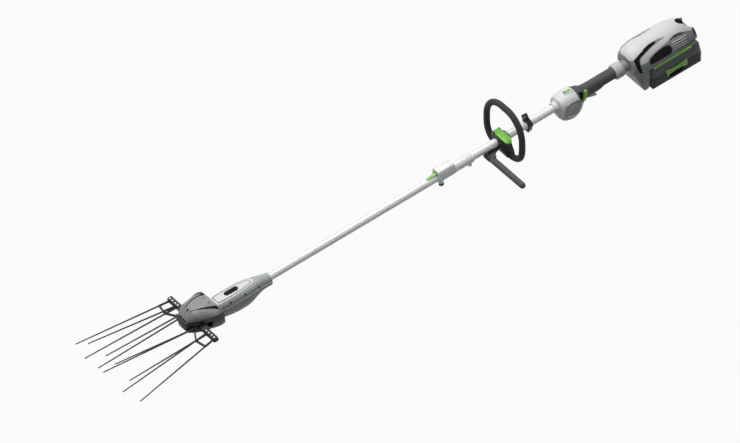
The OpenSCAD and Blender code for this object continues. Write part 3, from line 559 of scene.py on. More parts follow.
class HarvesterOperator(bpy.types.Operator):
    """Common parent of the harvester's operators."""

    bl_options = {"REGISTER", "UNDO"}
    bl_idname = "harvester.parent"
    bl_label = "Harvester parent"

    def execute(self, context):
        self.build(context.scene.harvester_sizes)
        return {"FINISHED"}


# Measures, all in millimetres

# Angles of half a shell
HALF = {"upper": (0, 180), "lower": (180, 360), "left": (90, 270), "right": (-90, 90)}

# Stations of the shells: x, half width, top, bottom, height of the widest line, squareness
NECK = [
    (-826, 28, 33, -32, 8, 2.8), (-800, 30, 33.5, -37, 8, 2.8), (-770, 31, 33, -43.5, 8, 2.8),
    (-745, 31, 32.5, -46.5, 8, 2.8), (-716, 30, 31.5, -47, 7, 2.7), (-694, 27.5, 29.5, -41.5, 5, 2.6),
    (-671, 23.5, 26.5, -32, 2, 2.4), (-652, 20.5, 22.5, -28, 0, 2.2), (-636, 19, 18, -28, -3, 2.1),
    (-622, 18.5, 15, -29, -6, 2),
]
HEAD = [
    (-936, 28, 43, -8, 9, 3.6), (-921, 36, 55, -11, 10, 4.4), (-906, 43, 61.5, -13, 10, 5),
    (-887, 49, 62, -14, 10, 5), (-866, 54.5, 59, -16, 10, 5.4), (-851, 58, 55, -17, 10, 5.6),
    (-839, 60, 50, -17, 10, 5.6), (-826.2, 59, 41, -16, 10, 5.6),
]
HOUSING = [
    (435, 17, 17, -17, 0, 2), (446, 19, 19, -21, 0, 2), (451, 34, 27.5, -48, -10, 2.2),
    (465, 39, 31, -59.5, -14, 2.3), (487, 42, 33, -62, -16, 2.3), (507, 39.5, 30.5, -55, -14, 2.3),
    (523, 31, 26.5, -48, -8, 2.2), (534, 25, 24.5, -35, -4, 2.2),
]
GRIP = [
    (534, 22, 23.5, -32, -2, 2.2), (545, 19.5, 20.5, -28, -2, 2.2), (560, 18.5, 19, -26, -2, 2.2),
    (587, 18, 18.5, -27, -2, 2.2), (603, 18, 18.5, -25, -2, 2.2), (619, 18, 18.5, -18.5, 0, 2.2),
    (660, 18, 18.5, -18, 0, 2.2),
]
POWER = [
    (709, 40, 38, -60, -5, 2.2), (717, 49, 47, -60, -5, 2.1), (735, 57, 56, -60, -5, 2),
    (758, 60.5, 61, -60, -5, 2), (800, 61, 62, -60, -5, 2), (845, 60.5, 62, -60, -5, 2),
    (880, 59, 60, -60, -5, 1.95), (905, 55, 54, -60, -5, 1.9), (922, 50, 45, -60, -5, 1.9),
    (944, 44, 34, -60, -5, 1.95),
]
BUTTON = [
    (902, 6, 52, 40, 45, 2.4), (907, 11.5, 55.5, 40, 46, 2.6), (913, 13.3, 56, 40, 46, 2.6),
    (918, 12.4, 54, 40, 46, 2.4), (921, 9, 50, 40, 45, 2.2),
]

# Radius left free for the upper pole, a little wide
UPPER_BORE = 13.05
# Bore through the switch housing, and room of the lock lever on its left
HOUSING_BORE = bore(425, 550, UPPER_BORE)
LEVER_ROOM = block((519, -60, -19), (555, -18.6, 26))
# Side panel of the switch housing and its lower rim in x and z, and the reach of its room in y
PANEL = [(457, 6), (462, 11), (484, 16), (508, 12), (515, -6), (504, -30), (493, -35), (463, -26), (457, -18)]
PANEL_RIM = [(462, -25.5), (478, -30.5), (492, -35), (501, -32), (508, -22), (513, -9)]
PANEL_DEPTH = 29
PANEL_REACH = 60

# Outlines on the sides of the power head, in x and z
HOOD_LINE = [
    (700, 30), (709, 32.5), (718, 36.5), (728, 42.5), (744, 49), (760, 54), (780, 56.6), (800, 57.2),
    (822, 56.4), (838, 53.4), (818, 52.4), (801, 50.7), (779, 47.7), (758, 43.7), (741, 38.7), (734, 32.7),
    (731, 27), (730.6, 22), (756, 22), (757, 26), (760, 29.5), (767, 32.5), (788, 37), (809, 40),
    (833, 42.5), (842, 44), (853, 47), (870, 48.5), (889, 45.5), (920, 31), (950, 12), (950, 95), (700, 95),
]
INTAKE = [
    (718.1, 36.3), (728.2, 42.3), (744.2, 48.8), (760.2, 53.7), (780, 56.2), (797.8, 56.2), (812, 53.4),
    (800.9, 50.9), (778.8, 47.9), (757.7, 43.9), (740.6, 38.9), (733.6, 33), (730.6, 26.6), (729, 10),
    (732, -9), (724, -9), (718.5, 6), (717, 17), (717, 31),
]
BADGE = [
    (757, 18), (763, 27), (782, 33.5), (802, 36.3), (820, 37.2), (833, 36.5), (841, 31), (843, 23),
    (838, 12), (832, 9.5), (762, 9.5),
]
TOP_LOUVRE = [(847.5, 41.2), (850, 45), (868, 46.2), (886, 43.2), (903, 37), (903, 34), (880, 38)]
# Height and depth of each louvre slot at its front end, and how far a slot falls to its rear end
LOUVRES = [(9.5, 51), (16.5, 49.5), (23.5, 46.5), (30.5, 42.5)]
LOUVRE_FALL = 6.2
# Chin in front of the battery: outlines from the side, from the front and from above
CHIN_SIDE = [(709, 0), (711, -20), (722, -58), (733, -86), (738, -92), (746, -93), (751.5, -87), (751.5, 0)]
CHIN_FRONT = [
    (-60, 0), (-60, -12), (-56, -50), (-48, -88), (-44, -93), (44, -93), (48, -88), (56, -50), (60, -12),
    (60, 0),
]
CHIN_PLAN = [
    (709, -34), (709, 34), (718, 50), (732, 58), (752, 60.5), (752, -60.5), (732, -58), (718, -50),
]

# Neck: half outline of the top panel and outline of its plate in x and y, and the panel's middle
PANEL_PLAN = [
    (-825.9, 19.5), (-800, 22.5), (-760, 22), (-735, 20.5), (-712, 17), (-692, 13), (-682, 9), (-679, 3),
]
NECK_BADGE = [
    (-774, -8.6), (-742, -8.6), (-736, -6), (-733.4, 0), (-736, 6), (-742, 8.6), (-774, 8.6), (-780, 6),
    (-782.6, 0), (-780, -6),
]
PANEL_MIDDLE = np.array([-752.0, 0.0])

# Rake head: x range of its cutters, seam between the covers, and slots as x, y and half width
HEAD_START = -945
HEAD_END = -780
SEAM_Z = 38.0
COVER_SLOT = [
    (-914, 11.5, 1.1), (-900, 17.5, 1.8), (-886, 22.8, 2.6), (-868, 28.6, 3.6), (-848, 33, 4.8),
    (-831, 36, 6),
]
# Spine of the roof: half width and lift; roof facets: slope, distance from the middle and foot
SPINE_HALF = 24
SPINE_LIFT = 2.5
ROOF_SLOPE = 0.4
ROOF_EDGE = 25
ROOF_FOOT = 22
# Half plan of the lower cover's pan, and room of the drive shaft at its rear
PAN_PLAN = [(-945, 30), (-915, 34), (-900, 41), (-878, 46), (-875, 80), (-780, 80)]
SHAFT_ROOM = block((-829, -14, 1), (-790, 14, 29))
# Tines: root, tip and how far the sleeve runs past the root; all sleeves start at SLEEVE_START
TINE_ROOTS = [
    ((-928, -112, 10), (-1215, -160, 0), 14), ((-936, -75.4, 9.2), (-1230, -94, 0), 14),
    ((-936, -80.4, 14.6), (-1207, -103, 39), 14), ((-922, -37.2, 15), (-1200, -23, 43), 8),
    ((-922, -31.8, 9), (-1238, -12, 26), 8),
]
SLEEVE_START = -899


class HARVESTER_OT_inner_works(HarvesterOperator):
    """Finishes of the pieces inside and of the plain round ones, which keep their CAD shape"""

    bl_idname = "harvester.inner_works"
    bl_label = "Inner works"

    def build(self, sizes):
        groups = {
            "alu": ["lower_pole", "upper_pole"],
            "steel": ["gear_bearings", "rake_pins", "lower_drive_shaft", "crank_gear", "crank_shaft",
                      "pole_bolts", "upper_drive_shaft", "clamp_pin", "hinge_pins", "motor_rotor"],
            "dark_steel": ["neck_screws", "head_screws"],
            "black": ["lower_bushes", "upper_bushes", "switch_module"],
            "tine": ["rake_tines_left", "rake_tines_right"],
            "winding": ["motor_stator"],
            "board": ["controller_board"],
            "lamp": ["mode_button"],
        }
        for look, nodes in groups.items():
            for node in nodes:
                NODES[node].data.materials.clear()
                NODES[node].data.materials.append(FINISH[look])


class HARVESTER_OT_edged_pieces(HarvesterOperator):
    """Moulded pieces that keep their CAD form and get rounded edges"""

    bl_idname = "harvester.edged_pieces"
    bl_label = "Edged pieces"

    def build(self, sizes):
        """Each row is a node, its finish and the widest rounding that it can take."""
        widest = sizes.edge / MM * 2.2
        plan = [
            ("coupler_cover", "silver", 2.2), ("release_lever", "green", 0.7), ("coupler_knob", "black", 0.8),
            ("clamp_base", "black", 2.0), ("clamp_lever", "green", 1.5), ("trigger", "green", 1.4),
            ("lock_lever", "green", 1.6), ("rake_hub_left", "black", 0.8), ("rake_hub_right", "black", 0.8),
            ("head_nose_bumper", "black", 1.5), ("battery_case", "black", 2.5),
            ("battery_bezel", "dark", 2.0), ("battery_trim", "green", 0.8), ("rear_bumpers", "black", 1.5),
            ("neck_badge_plate", "plate", 0.5), ("coupler_sleeve", "silver", 0.6),
            ("barrier_bar", "bar", 1.5),
        ]
        for node, look, width in plan:
            edged(node, look, min(width, widest))


class HARVESTER_OT_loop_handle(HarvesterOperator):
    """Foam loop of the front handle, and the strap ring behind it"""

    bl_idname = "harvester.loop_handle"
    bl_label = "Loop handle"

    def build(self, sizes):
        """Round foam along y = half c, z = middle + rise s, x = 254.5 + lean z, where c and s are cos a and
        sin a to a power, s stretched a little and held to 1; the lower half has its own rise and power."""
        half, middle, lean, rows = 87, 27.5, 0.1, 224
        a = np.radians(360 * (np.arange(rows) + 0.5) / rows)
        power = np.where(np.sin(a) > 0, 0.88, 0.62)
        c = np.sign(np.cos(a)) * np.abs(np.cos(a)) ** power
        s = np.sign(np.sin(a)) * np.abs(np.sin(a)) ** power
        z = middle + np.where(s > 0, 86, 77) * np.clip(1.02 * s, -1, 1)
        path = np.stack([254.5 + lean * z, half * c, z], axis=1)
        along = np.roll(path, -1, 0) - np.roll(path, 1, 0)
        along /= np.linalg.norm(along, axis=1)[:, None]
        side = np.array([1, 0, -lean]) / np.linalg.norm([1, 0, -lean])
        out = np.cross(along, side)
        off = ring(10.0, 28)
        points = path[:, None] + off[None, :, :1] * side + off[None, :, 1:] * out[:, None]
        dress(raw_object("foam_loop", grid_solid(points, closed=True)), "foam", "loop_grip")
        self.build_strap_ring()

    def build_strap_ring(self):
        """Split clamp round the pole, with an upright tab that has the strap's eye."""
        profile = [(333, 13.02), (333, 17), (349, 17), (349, 13.02)]
        band = raw_object("strap_band", lathe(rounded(profile, 1.0)))
        outline = [(322.5, 42.5), (325, 44.5), (341, 43), (343, 40), (348, 13.5), (328, 14.5)]
        tab = raw_object("strap_tab", prism(closed_rounded(outline, 2.0), -2.5, 2.5, "xz"))
        pole = bore(320, 360, 13.1)
        eye = rod((332, -10, 31), (332, 10, 31), 4.0)
        carve(tab, [eye, pole])
        foot = raw_object("strap_foot", block((333, -9, -27), (349, 9, -12.5)))
        split = block((330, -1.2, -30), (352, 1.2, -11))
        carve(foot, [pole, split])
        merge(band, tab, foot)
        dress(settle(soften(band, 0.7)), "black", "strap_ring")


class HARVESTER_OT_switch_housing(HarvesterOperator):
    """Switch housing with its side panels and display"""

    bl_idname = "harvester.switch_housing"
    bl_label = "Switch housing"

    def build(self, sizes):
        """Two halves of one rounded shell; the panels are the same shell, smaller by the recess."""
        panel = closed_rounded(PANEL, 4.0)
        for name, sign in (("left", -1), ("right", 1)):
            half = moulded("switch_shell_" + name, HOUSING, *HALF[name], rows=96, cols=72)
            near, far = sorted((PANEL_DEPTH * sign, PANEL_REACH * sign))
            display = block((477.9, -9.1, 27), (508.1, 9.1, 50))
            cuts = [prism(panel, near, far, "xz"), HOUSING_BORE, display]
            if name == "left":
                cuts.append(LEVER_ROOM)
            dress(carve(half, cuts), "white", "switch_housing_" + name)
        self.build_panels(panel, sizes)
        self.build_display()

    def build_panels(self, panel, sizes):
        """Side panels and a thin rim along their lower edge: y = w (1 - |t|^n)^(1/n), where t is the height
        from the widest line as a share of the shell's height."""
        inner = moulded("side_insets", HOUSING, rows=96, cols=128, grow=-sizes.recess / MM)
        near = PANEL_DEPTH + 0.2
        keep = join(prism(panel, near, PANEL_REACH, "xz"), prism(panel, -PANEL_REACH, -near, "xz"))
        dress(within(inner, keep), "panel", "side_panels")
        x, z = spline(PANEL_RIM, 40).T
        w, top, low, mid, n = section(HOUSING, x)
        share = (z - mid) / np.where(z > mid, top - mid, mid - low)
        reach = w * (1 - np.abs(share) ** n) ** (1 / n)
        path = np.stack([x, reach - 0.2, z], axis=1)
        ride_along(raw_object("panel_rims", mirrored(tube(path, ring(1.0, 12)))), "white", "side_panels")

    def build_display(self):
        """Frame with a sunk window and the hole of the mode button, and the bars in the window."""
        display = raw_object("display_frame", block((478, -9, 27.1), (508, 9, 34.0)))
        window = block((480, -6.5, 33.2), (496.5, 6.5, 40))
        hole = rod((501, 0, 20), (501, 0, 60), 4.35)
        carve(display, [window, hole])
        dress(settle(soften(display, 0.5)), "white", "display_panel")
        rows = [
            ("display_bars", "screen", [(480.6, 483.6), (484.6, 486.0)]),
            ("display_lamps", "lamp", [(486.6, 489.4), (490.0, 496.0)]),
        ]
        for name, look, places in rows:
            bars = raw_object(name, join(*(block((a, -5.6, 33.1), (b, 5.6, 33.9)) for a, b in places)))
            ride_along(soften(bars, 0.25), look, "display_panel")


class HARVESTER_OT_grip(HarvesterOperator):
    """Rear grip in two halves, and the light collar behind it"""

    bl_idname = "harvester.grip"
    bl_label = "Grip"

    def build(self, sizes):
        """Halves of a rounded shell; the skirt is a slice of the switch housing's shell, a little larger."""
        trigger = block((533, -6.2, -60), (597, 6.2, -13.4))
        for name in ("left", "right"):
            half = moulded("grip_half_" + name, GRIP, *HALF[name], rows=80, cols=48)
            cuts = [bore(525, 672, UPPER_BORE), trigger]
            if name == "left":
                cuts.append(LEVER_ROOM)
            dress(carve(half, cuts), "rubber", "grip_" + name)
        skirt = moulded("grip_skirt", HOUSING, rows=96, cols=128, grow=0.7)
        front = [(512, 60), (512, 16), (515, 0), (520, -9), (534, -12), (534.6, 60)]
        within(skirt, prism(front, -60, 60, "xz"))
        carve(skirt, [LEVER_ROOM, HOUSING_BORE])
        ride_along(settle(soften(skirt, 0.6)), "rubber", "grip_left")
        profile = [(660.2, 13.1), (660.2, 22.3), (664.2, 25), (687.2, 25), (691.2, 22), (691.2, 13.1)]
        collar = raw_object("collar_ring", lathe(rounded(profile, 2.0)))
        dress(carve(collar, [bore(640, 720, UPPER_BORE, 64)]), "panel", "grip_collar")


def louvre(z, low, high, front, rear, near, far):
    """Slanted band on both sides between two heights above z, which falls from its front to its rear."""
    end = z - LOUVRE_FALL
    outline = [(front, z + low), (front, z + high), (rear, end + high), (rear, end + low)]
    return mirrored(prism(outline, near, far, "xz"))


class HARVESTER_OT_power_head(HarvesterOperator):
    """Power head: hood with its arms, grey housing with louvres, side intakes and plain plates"""

    bl_idname = "harvester.power_head"
    bl_label = "Power head"

    def build(self, sizes):
        """Hood and housing are one rounded shell, parted along HOOD_LINE; the button is a smaller shell."""
        line = prism(closed_rounded(HOOD_LINE, 1.2, 4), -OUTSIDE, OUTSIDE, "xz")
        plan = [
            (901, -5), (906, -11), (913, -13.4), (921, -13.4), (921, 13.4), (913, 13.4), (906, 11), (901, 5),
        ]
        pocket = closed_rounded(resized(plan, np.array([911.0, 0.0]), 1.04), 3.0)
        bumper = block((933.95, 28.95, 8.95), (955, 50, 26.05))
        step = [(921.6, 90), (921.6, 39), (930, 33), (955, 28), (955, 90)]
        notch = [(921.3, -14), (921.3, 14), (936, 25), (960, 31), (960, -31), (936, -25)]
        motor = bore(718, 744.4, 34.05, 64)
        pole = bore(690, 713, UPPER_BORE)
        rooms = [
            prism(pocket, 35.6, OUTSIDE, "xy"), mirrored(bumper), prism(step, -OUTSIDE, OUTSIDE, "xz"),
            motor, pole, prism(notch, 9, 70, "xy"),
        ]
        hood = moulded("hood", POWER, rows=110, cols=128)
        within(hood, line)
        for room in rooms:
            carve(hood, [room])
        dress(hood, "white", "rear_top_shell")
        dress(moulded("button_cap", BUTTON, rows=30, cols=48), "hollow", "release_button")
        self.build_lower(line, rooms, [motor, pole])
        self.build_louvres()
        strips = raw_object("battery_lines", mirrored(block((767, 58, -11.5), (907, 63.2, -5))))
        ride_along(soften(strips, 0.5), "green", "battery_trim")
        self.build_sides(motor)

    def build_lower(self, line, rooms, bores):
        """Grey housing: the shell below the hood's line, with the louvre slots; the chin and the short
        tube behind the collar are closed bodies of the same mesh."""
        lower = moulded("grey_housing", POWER, rows=110, cols=128)
        within(lower, block((700, -OUTSIDE, -6.0), (950, OUTSIDE, 90)))
        slots = [louvre(z, 0, 3.6, 850, 903, y, 75) for z, y in LOUVRES]
        slots.append(mirrored(prism(TOP_LOUVRE, 32, 75, "xz")))
        intake = mirrored(prism(INTAKE, 21, 91, "xz"))
        badge = mirrored(prism(closed_rounded(BADGE, 4.0), 45.9, 86, "xz"))
        rail = block((751.6, -34.35, -1.95), (960, 34.35, 5.35))
        rail_neck = block((751.6, -26.35, -20), (960, 26.35, 0.55))
        for room in (line, intake, badge, *rooms):
            carve(lower, [room])
        carve(lower, [rail, rail_neck])
        carve(lower, slots)
        chin = raw_object("chin", prism(closed_rounded(CHIN_SIDE, 3.0), -OUTSIDE, OUTSIDE, "xz"))
        within(chin, prism(closed_rounded(CHIN_FRONT, 6.0), 700, 760, "yz"))
        within(chin, prism(closed_rounded(CHIN_PLAN, 3.0), -100, 20, "xy"))
        carve(chin, [*bores, intake])
        short_tube = raw_object("short_tube", lathe([(691.4, 13.1), (691.4, 19), (716, 19), (716, 13.1)]))
        dress(merge(lower, chin, short_tube), "grey", "rear_lower_housing")

    def build_louvres(self):
        """Matt black floors in the louvre slots as painted shade, and a light rib along the upper edge of
        each slot.
        """
        # The floors are painted shade: black sheets set in the slots where there is only shadow.
        floors = [louvre(z, 0.1, 3.5, 850.2, 902.8, y, y + 2) for z, y in LOUVRES]
        floors.append(mirrored(prism(TOP_LOUVRE, 32, 35, "xz")))
        ride_along(raw_object("louvre_floors", join(*floors)), "hollow", "rear_lower_housing")
        ribs = moulded("louvre_ribs", POWER, rows=90, cols=128, grow=0.6)
        bands = [louvre(z, 3.8, 6.8, 849, 903, y - 4, 90) for z, y in LOUVRES]
        ride_along(within(ribs, join(*bands)), "white", "rear_lower_housing")

    def build_sides(self, motor):
        """Black crescents a little below the shell, and plain dark plates a little proud of it."""
        body = moulded("intake_crescents", POWER, rows=90, cols=128, grow=-2.5)
        within(body, mirrored(prism(INTAKE, 21.2, 91, "xz")))
        dress(carve(body, [motor]), "hollow", "side_intakes")
        plates = moulded("side_plates", POWER, rows=90, cols=128, grow=0.5)
        within(plates, mirrored(prism(closed_rounded(BADGE, 4.0), 46, 86, "xz")))
        dress(plates, "plate", "badge_plates")


class HARVESTER_OT_neck(HarvesterOperator):
    """Neck of the rake head: two shells with a bead on their split line, and the light top panel"""

    bl_idname = "harvester.neck"
    bl_label = "Neck"

    def build(self, sizes):
        """Upper and lower half of one rounded shell, with a gap for the panel in the upper one."""
        edge = np.array(PANEL_PLAN)
        lens = closed_rounded(np.vstack([edge, edge[::-1] * (1, -1)]), 5.0)
        pole = bore(-670, -600, 12.55)
        gap = prism(resized(lens, PANEL_MIDDLE, (1.005, 1.03)), 23.9, 60, "xy")
        upper = self.half("neck_upper", "upper", 0.0)
        dress(carve(upper, [gap, pole]), "neck", "neck_upper_shell")
        lower = self.half("neck_lower", "lower", -0.4)
        dress(carve(lower, [pole]), "neck", "neck_lower_shell")
        self.build_panel(lens)
        self.build_beads()

    def half(self, name, side, grow):
        """Half of the neck's shell."""
        return moulded(name, NECK, *HALF[side], rows=90, cols=56, grow=grow)

    def build_panel(self, lens):
        """Top panel: a rim and a core with a groove between them, and the groove's dark grey floor, which is
        painted shade.
        """
        outer = resized(lens, PANEL_MIDDLE, (0.88, 0.80))
        inner = resized(lens, PANEL_MIDDLE, (0.85, 0.68))
        under = resized(lens, PANEL_MIDDLE, (0.9, 0.84))
        panel = self.half("neck_panel", "upper", 0.8)
        within(panel, prism(lens, 20, 60, "xy"))
        carve(panel, [prism(outer, 10, 60, "xy")])
        core = self.half("panel_core", "upper", 0.8)
        within(core, prism(inner, 20, 60, "xy"))
        carve(core, [prism(NECK_BADGE, 29.4, 60, "xy")])
        dress(merge(panel, core), "white", "neck_top_panel")
        # The groove's floor is dark grey as painted shade in the groove.
        floor = self.half("panel_groove", "upper", -0.8)
        within(floor, prism(under, 20, 60, "xy"))
        carve(floor, [prism(NECK_BADGE, 26, 60, "xy")])
        ride_along(floor, "dark", "neck_top_panel")

    def build_beads(self):
        """A thin bead along each side where the two shells meet."""
        x = np.linspace(-822, -624, 80)
        wide, _, _, high, _ = section(NECK, x)
        path = np.stack([x, wide - 0.3, high], axis=1)
        ride_along(raw_object("neck_beads", mirrored(tube(path, ring(1.5, 12)))), "white", "neck_upper_shell")


class HARVESTER_OT_rake_head(HarvesterOperator):
    """Covers of the rake head, with the two curved slots and the low spine of the upper one"""

    bl_idname = "harvester.rake_head"
    bl_label = "Rake head"

    def build(self, sizes):
        """Upper cover: a rounded shell with z + SPINE_LIFT (1 - |y| / SPINE_HALF) along the middle, and
        z - ROOF_SLOPE (|y| - ROOF_EDGE) on the facets beside it."""
        points = shell(HEAD, rows=100, cols=160)
        x, y, z = np.moveaxis(points, 2, 0)
        side = np.abs(y)
        spine = np.clip(1 - side / SPINE_HALF, 0, 1)
        window = ramp(x, -922, 22) * ramp(-x, 832, 22)
        roof = ramp(x, -926, 26) * ramp(z, ROOF_FOOT, 22)
        lift = SPINE_LIFT * spine * window - ROOF_SLOPE * np.clip(side - ROOF_EDGE, 0, 40) * roof
        points[..., 2] += np.where(z > ROOF_FOOT, lift, 0)
        upper = raw_object("head_cover", grid_solid(points))
        above = block((HEAD_START, -OUTSIDE, SEAM_Z + 0.1), (HEAD_END, OUTSIDE, 80))
        within(upper, above)
        place, across, width = np.array(COVER_SLOT).T
        at = np.linspace(place[0], place[-1], 28)
        line = smooth_curve(place, across, at)
        half = smooth_curve(place, width, at)
        slots = []
        for sign in (-1, 1):
            out = np.vstack([np.c_[at, sign * (line + half)], np.c_[at, sign * (line - half)][::-1]])
            slots.append(prism(out, 43, 80, "xy"))
        carve(upper, slots)
        carve(upper, [rod((a, b, 49), (a, b, 90), 3.4) for a, b in ((-915, 0), (-847, 13), (-847, -13))])
        dress(upper, "cover", "head_upper_cover")
        # Matt black sheet just under the cover, inside its slots: painted shade in the slots.
        floors = moulded("slot_floors", HEAD, rows=80, cols=112, grow=-1.0)
        within(floors, join(*slots))
        carve(floors, [block((HEAD_START, -OUTSIDE, 45.5), (HEAD_END, OUTSIDE, 90))])
        ride_along(floors, "hollow", "head_upper_cover")
        self.build_lower()
        for sign, name in ((1, "left"), (-1, "right")):
            self.build_comb(sign, name)

    def build_lower(self):
        """Lower cover: four parts of one rounded shell, which are a shallow pan, rear walls, closed cheeks
        and a band under the upper cover. Its nose and its open sides are black; all above 13 mm is dark grey
        as painted shade."""
        edge = np.array(PAN_PLAN)
        parts = [
            ("head_pan", prism(np.vstack([edge, edge[::-1] * (1, -1)]), -60, 2.5, "xy")),
            ("head_walls", mirrored(block((-836, 16, 2), (-780, 80, 23)))),
            ("head_cheeks", mirrored(block((-866, 50.5, 2), (-835.5, 80, 23)))),
            ("head_band", block((HEAD_START, -OUTSIDE, 22), (HEAD_END, OUTSIDE, SEAM_Z))),
        ]
        solids = []
        for name, keep in parts:
            solids.append(within(moulded(name, HEAD, rows=80, cols=112), keep))
        pan, _, _, band = solids
        carve(pan, [SHAFT_ROOM, block((-945, -17, 0.5), (-905, 17, 10))])
        carve(band, [SHAFT_ROOM, block((-905, -37, 21), (-840, 37, 24.2))])
        dress(merge(*solids), "grey", "head_lower_cover")
        pan.data.materials.append(FINISH["black"])
        pan.data.materials.append(FINISH["dark"])
        x, _, z = (np.array([poly.center for poly in pan.data.polygons]) / MM).T
        is_black = (x < -893) | ((x < -866) & (z < 22.5) & (z > 2))
        # Faces above 13 mm take the dark grey as painted shade on the steep walls under the upper cover.
        is_painted_shade = z > 13
        index = np.where(is_black, 1, np.where(is_painted_shade, 2, 0))
        pan.data.polygons.foreach_set("material_index", index.astype(np.int32))

    def build_comb(self, sign, name):
        """One comb: a beam, two thin struts in front of it, and a sleeve round the root of each tine.
        The sleeves run along the tines; sign 1 is the left side."""
        def place(points):
            return [(x, y * sign) + tuple(rest) for x, y, *rest in points]

        beam = [(-909, -117), (-892, -117), (-892, -60), (-884, -48.5), (-897, -48.5), (-909, -60)]
        rail = [(-908.2, -116.2), (-892.8, -116.2), (-892.8, -67), (-908.2, -67)]
        arm = [
            (-884, -48.5), (-897, -48.5), (-909, -33), (-926, -30), (-927, -38), (-914, -41), (-908, -60),
            (-892, -60),
        ]
        bars = [
            raw_object("comb_beam", prism(place(beam), 5, 11, "xy")),
            raw_object("comb_top", prism(place(rail), 10.8, 19, "xy")),
            raw_object("comb_arm", prism(place(arm), 5.1, 10.9, "xy")),
        ]
        for i, (a, b) in enumerate((((-921, -34), (-947, -78)), ((-947, -74), (-940, -115)))):
            along = np.subtract(b, a) / np.hypot(*np.subtract(b, a))
            across = np.array([-along[1], along[0]]) * 2.7
            corners = [np.add(a, across), np.subtract(a, across), np.subtract(b, across), np.add(b, across)]
            outline = place([tuple(c) for c in corners])
            bars.append(raw_object("comb_strut", prism(outline, 6, 12.5 + 0.2 * i, "xy")))
        for root, tip, ahead in TINE_ROOTS:
            root, tip = (np.array(place([q])[0], float) for q in (root, tip))
            along = (tip - root) / np.linalg.norm(tip - root)
            back = root - along * ((SLEEVE_START - root[0]) / -along[0])
            sleeve = rod(tuple(back), tuple(root + along * ahead), 3.5, 20)
            bars.append(raw_object("comb_sleeve", sleeve))
        for bar in bars:
            settle(soften(bar, 0.7))
        dress(merge(*bars), "black", "rake_comb_" + name)
        ends = [place([(-903, y, 18.9), (-903, y, 20.1)]) for y in (-109, -97, -83, -71)]
        rivets = raw_object("comb_rivets_" + name, join(*(rod(low, high, 3.0, 24) for low, high in ends)))
        ride_along(soften(rivets, 0.5), "silver", "rake_comb_" + name)


def seen_ray(tree):
    """Socket that is 1 for rays of the camera, off glossy faces and through clear ones, and 0 for others."""
    ray = shader(tree, "LightPath")
    seen = ray.outputs["Is Camera Ray"]
    for name in ("Is Glossy Ray", "Is Transmission Ray"):
        most = shader(tree, "Math")
        most.operation = "MAXIMUM"
        tree.links.new(seen, most.inputs[0])
        tree.links.new(ray.outputs[name], most.inputs[1])
        seen = most.outputs[0]
    return seen


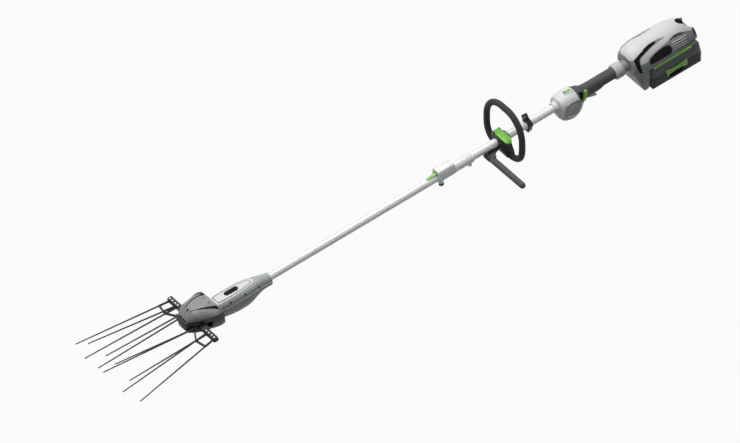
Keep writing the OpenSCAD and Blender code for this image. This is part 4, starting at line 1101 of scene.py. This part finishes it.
class HARVESTER_OT_stage(HarvesterOperator):
    """Pale floor, soft light from above and the camera at the photograph's angle"""

    bl_idname = "harvester.stage"
    bl_label = "Stage"

    def build(self, sizes):
        self.build_floor()
        self.build_light()
        self.build_camera()

    def build_floor(self):
        """Flat floor that the camera sees as white, with the part's soft shadow."""
        top = CAD_BOX[0][2] / MM - 0.5
        half = 9000
        floor = raw_object("floor", block((-half, -half, top - 20), (half, half, top)))
        mat = bpy.data.materials.new("pale_floor")
        mat.use_nodes = True
        tree = mat.node_tree
        link = tree.links.new
        bsdf = tree.nodes["Principled BSDF"]
        fill(bsdf, Roughness=0.9, Base_Color=(0.08, 0.08, 0.08, 1))
        glow = shader(tree, "Emission", Color=(1, 1, 1, 1))
        part = shader(tree, "Math")
        part.operation = "MULTIPLY"
        part.inputs[1].default_value = 0.96
        link(seen_ray(tree), part.inputs[0])
        mix = shader(tree, "MixShader")
        link(part.outputs[0], mix.inputs["Fac"])
        link(bsdf.outputs[0], mix.inputs[1])
        link(glow.outputs[0], mix.inputs[2])
        link(mix.outputs[0], tree.nodes["Material Output"].inputs["Surface"])
        floor.data.materials.append(mat)

    def build_light(self):
        """One wide lamp above and a little behind, a weak one in front, and an even sky."""
        aim = Vector((-0.2, 0, 0))
        lamps = [("key", (0.1, 0.85, 3.1), 3.0, 116.0), ("fill", (-1.2, -2.6, 1.4), 2.4, 2.0)]
        for name, place, width, power in lamps:
            lamp = bpy.data.lights.new(name, "AREA")
            lamp.shape = "SQUARE"
            lamp.size = width
            lamp.energy = power
            thing = new_object(name, lamp)
            thing.location = place
            thing.rotation_euler = (aim - Vector(place)).to_track_quat("-Z", "Y").to_euler()
        world = bpy.data.worlds.new("studio")
        bpy.context.scene.world = world
        world.use_nodes = True
        tree = world.node_tree
        sky = fill(tree.nodes["Background"], Color=(1, 1, 1, 1))
        level = shader(tree, "MapRange", To_Min=0.11, To_Max=1.0)
        tree.links.new(seen_ray(tree), level.inputs["Value"])
        tree.links.new(level.outputs["Result"], sky.inputs["Strength"])

    def build_camera(self):
        """Long lens along the back vector that was fitted to the photograph."""
        scene = bpy.context.scene
        scene.view_settings.view_transform = "Standard"
        back = Vector((-0.38, -0.607, 0.698)).normalized()
        right = Vector((0.4724, 0.5214, 0.7105)).cross(back).normalized()
        up = back.cross(right)
        aim = Vector((-0.2539, -0.0085, -0.0074))
        distance = 60.0
        cam = bpy.data.cameras.new("camera")
        cam.sensor_width = 36.0
        cam.lens = 988.0
        cam.clip_end = 200.0
        thing = new_object("camera", cam)
        turn = Matrix((right, up, back)).transposed().to_4x4()
        thing.matrix_world = Matrix.Translation(aim + distance * back) @ turn
        scene.camera = thing


STEPS = [
    HARVESTER_OT_stage, HARVESTER_OT_inner_works, HARVESTER_OT_edged_pieces, HARVESTER_OT_loop_handle,
    HARVESTER_OT_switch_housing, HARVESTER_OT_grip, HARVESTER_OT_power_head, HARVESTER_OT_neck,
    HARVESTER_OT_rake_head,
]


class HARVESTER_PT_panel(bpy.types.Panel):
    """Sizes, colours and steps of the harvester's looks"""

    bl_idname = "HARVESTER_PT_panel"
    bl_label = "Harvester"
    bl_space_type = "VIEW_3D"
    bl_region_type = "UI"
    bl_category = "Harvester"

    def draw(self, context):
        layout = self.layout
        for group in (context.scene.harvester_sizes, context.scene.harvester_tones):
            for name in group.__annotations__:
                layout.prop(group, name)
        for step in STEPS:
            layout.operator(step.bl_idname)


CLASSES = [HarvesterTones, HarvesterSizes, *STEPS, HARVESTER_PT_panel]


def register():
    """Registers the classes and the two groups of settings."""
    for item in CLASSES:
        bpy.utils.register_class(item)
    bpy.types.Scene.harvester_tones = bpy.props.PointerProperty(type=HarvesterTones)
    bpy.types.Scene.harvester_sizes = bpy.props.PointerProperty(type=HarvesterSizes)


def unregister():
    """Takes the settings and the classes away again."""
    del bpy.types.Scene.harvester_sizes
    del bpy.types.Scene.harvester_tones
    for item in reversed(CLASSES):
        bpy.utils.unregister_class(item)


def main():
    """Registers the add-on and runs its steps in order."""
    register()
    make_finishes(bpy.context.scene.harvester_tones)
    for step in STEPS:
        group, name = step.bl_idname.split(".")
        getattr(getattr(bpy.ops, group), name)()


if __name__ == "__main__":
    main()
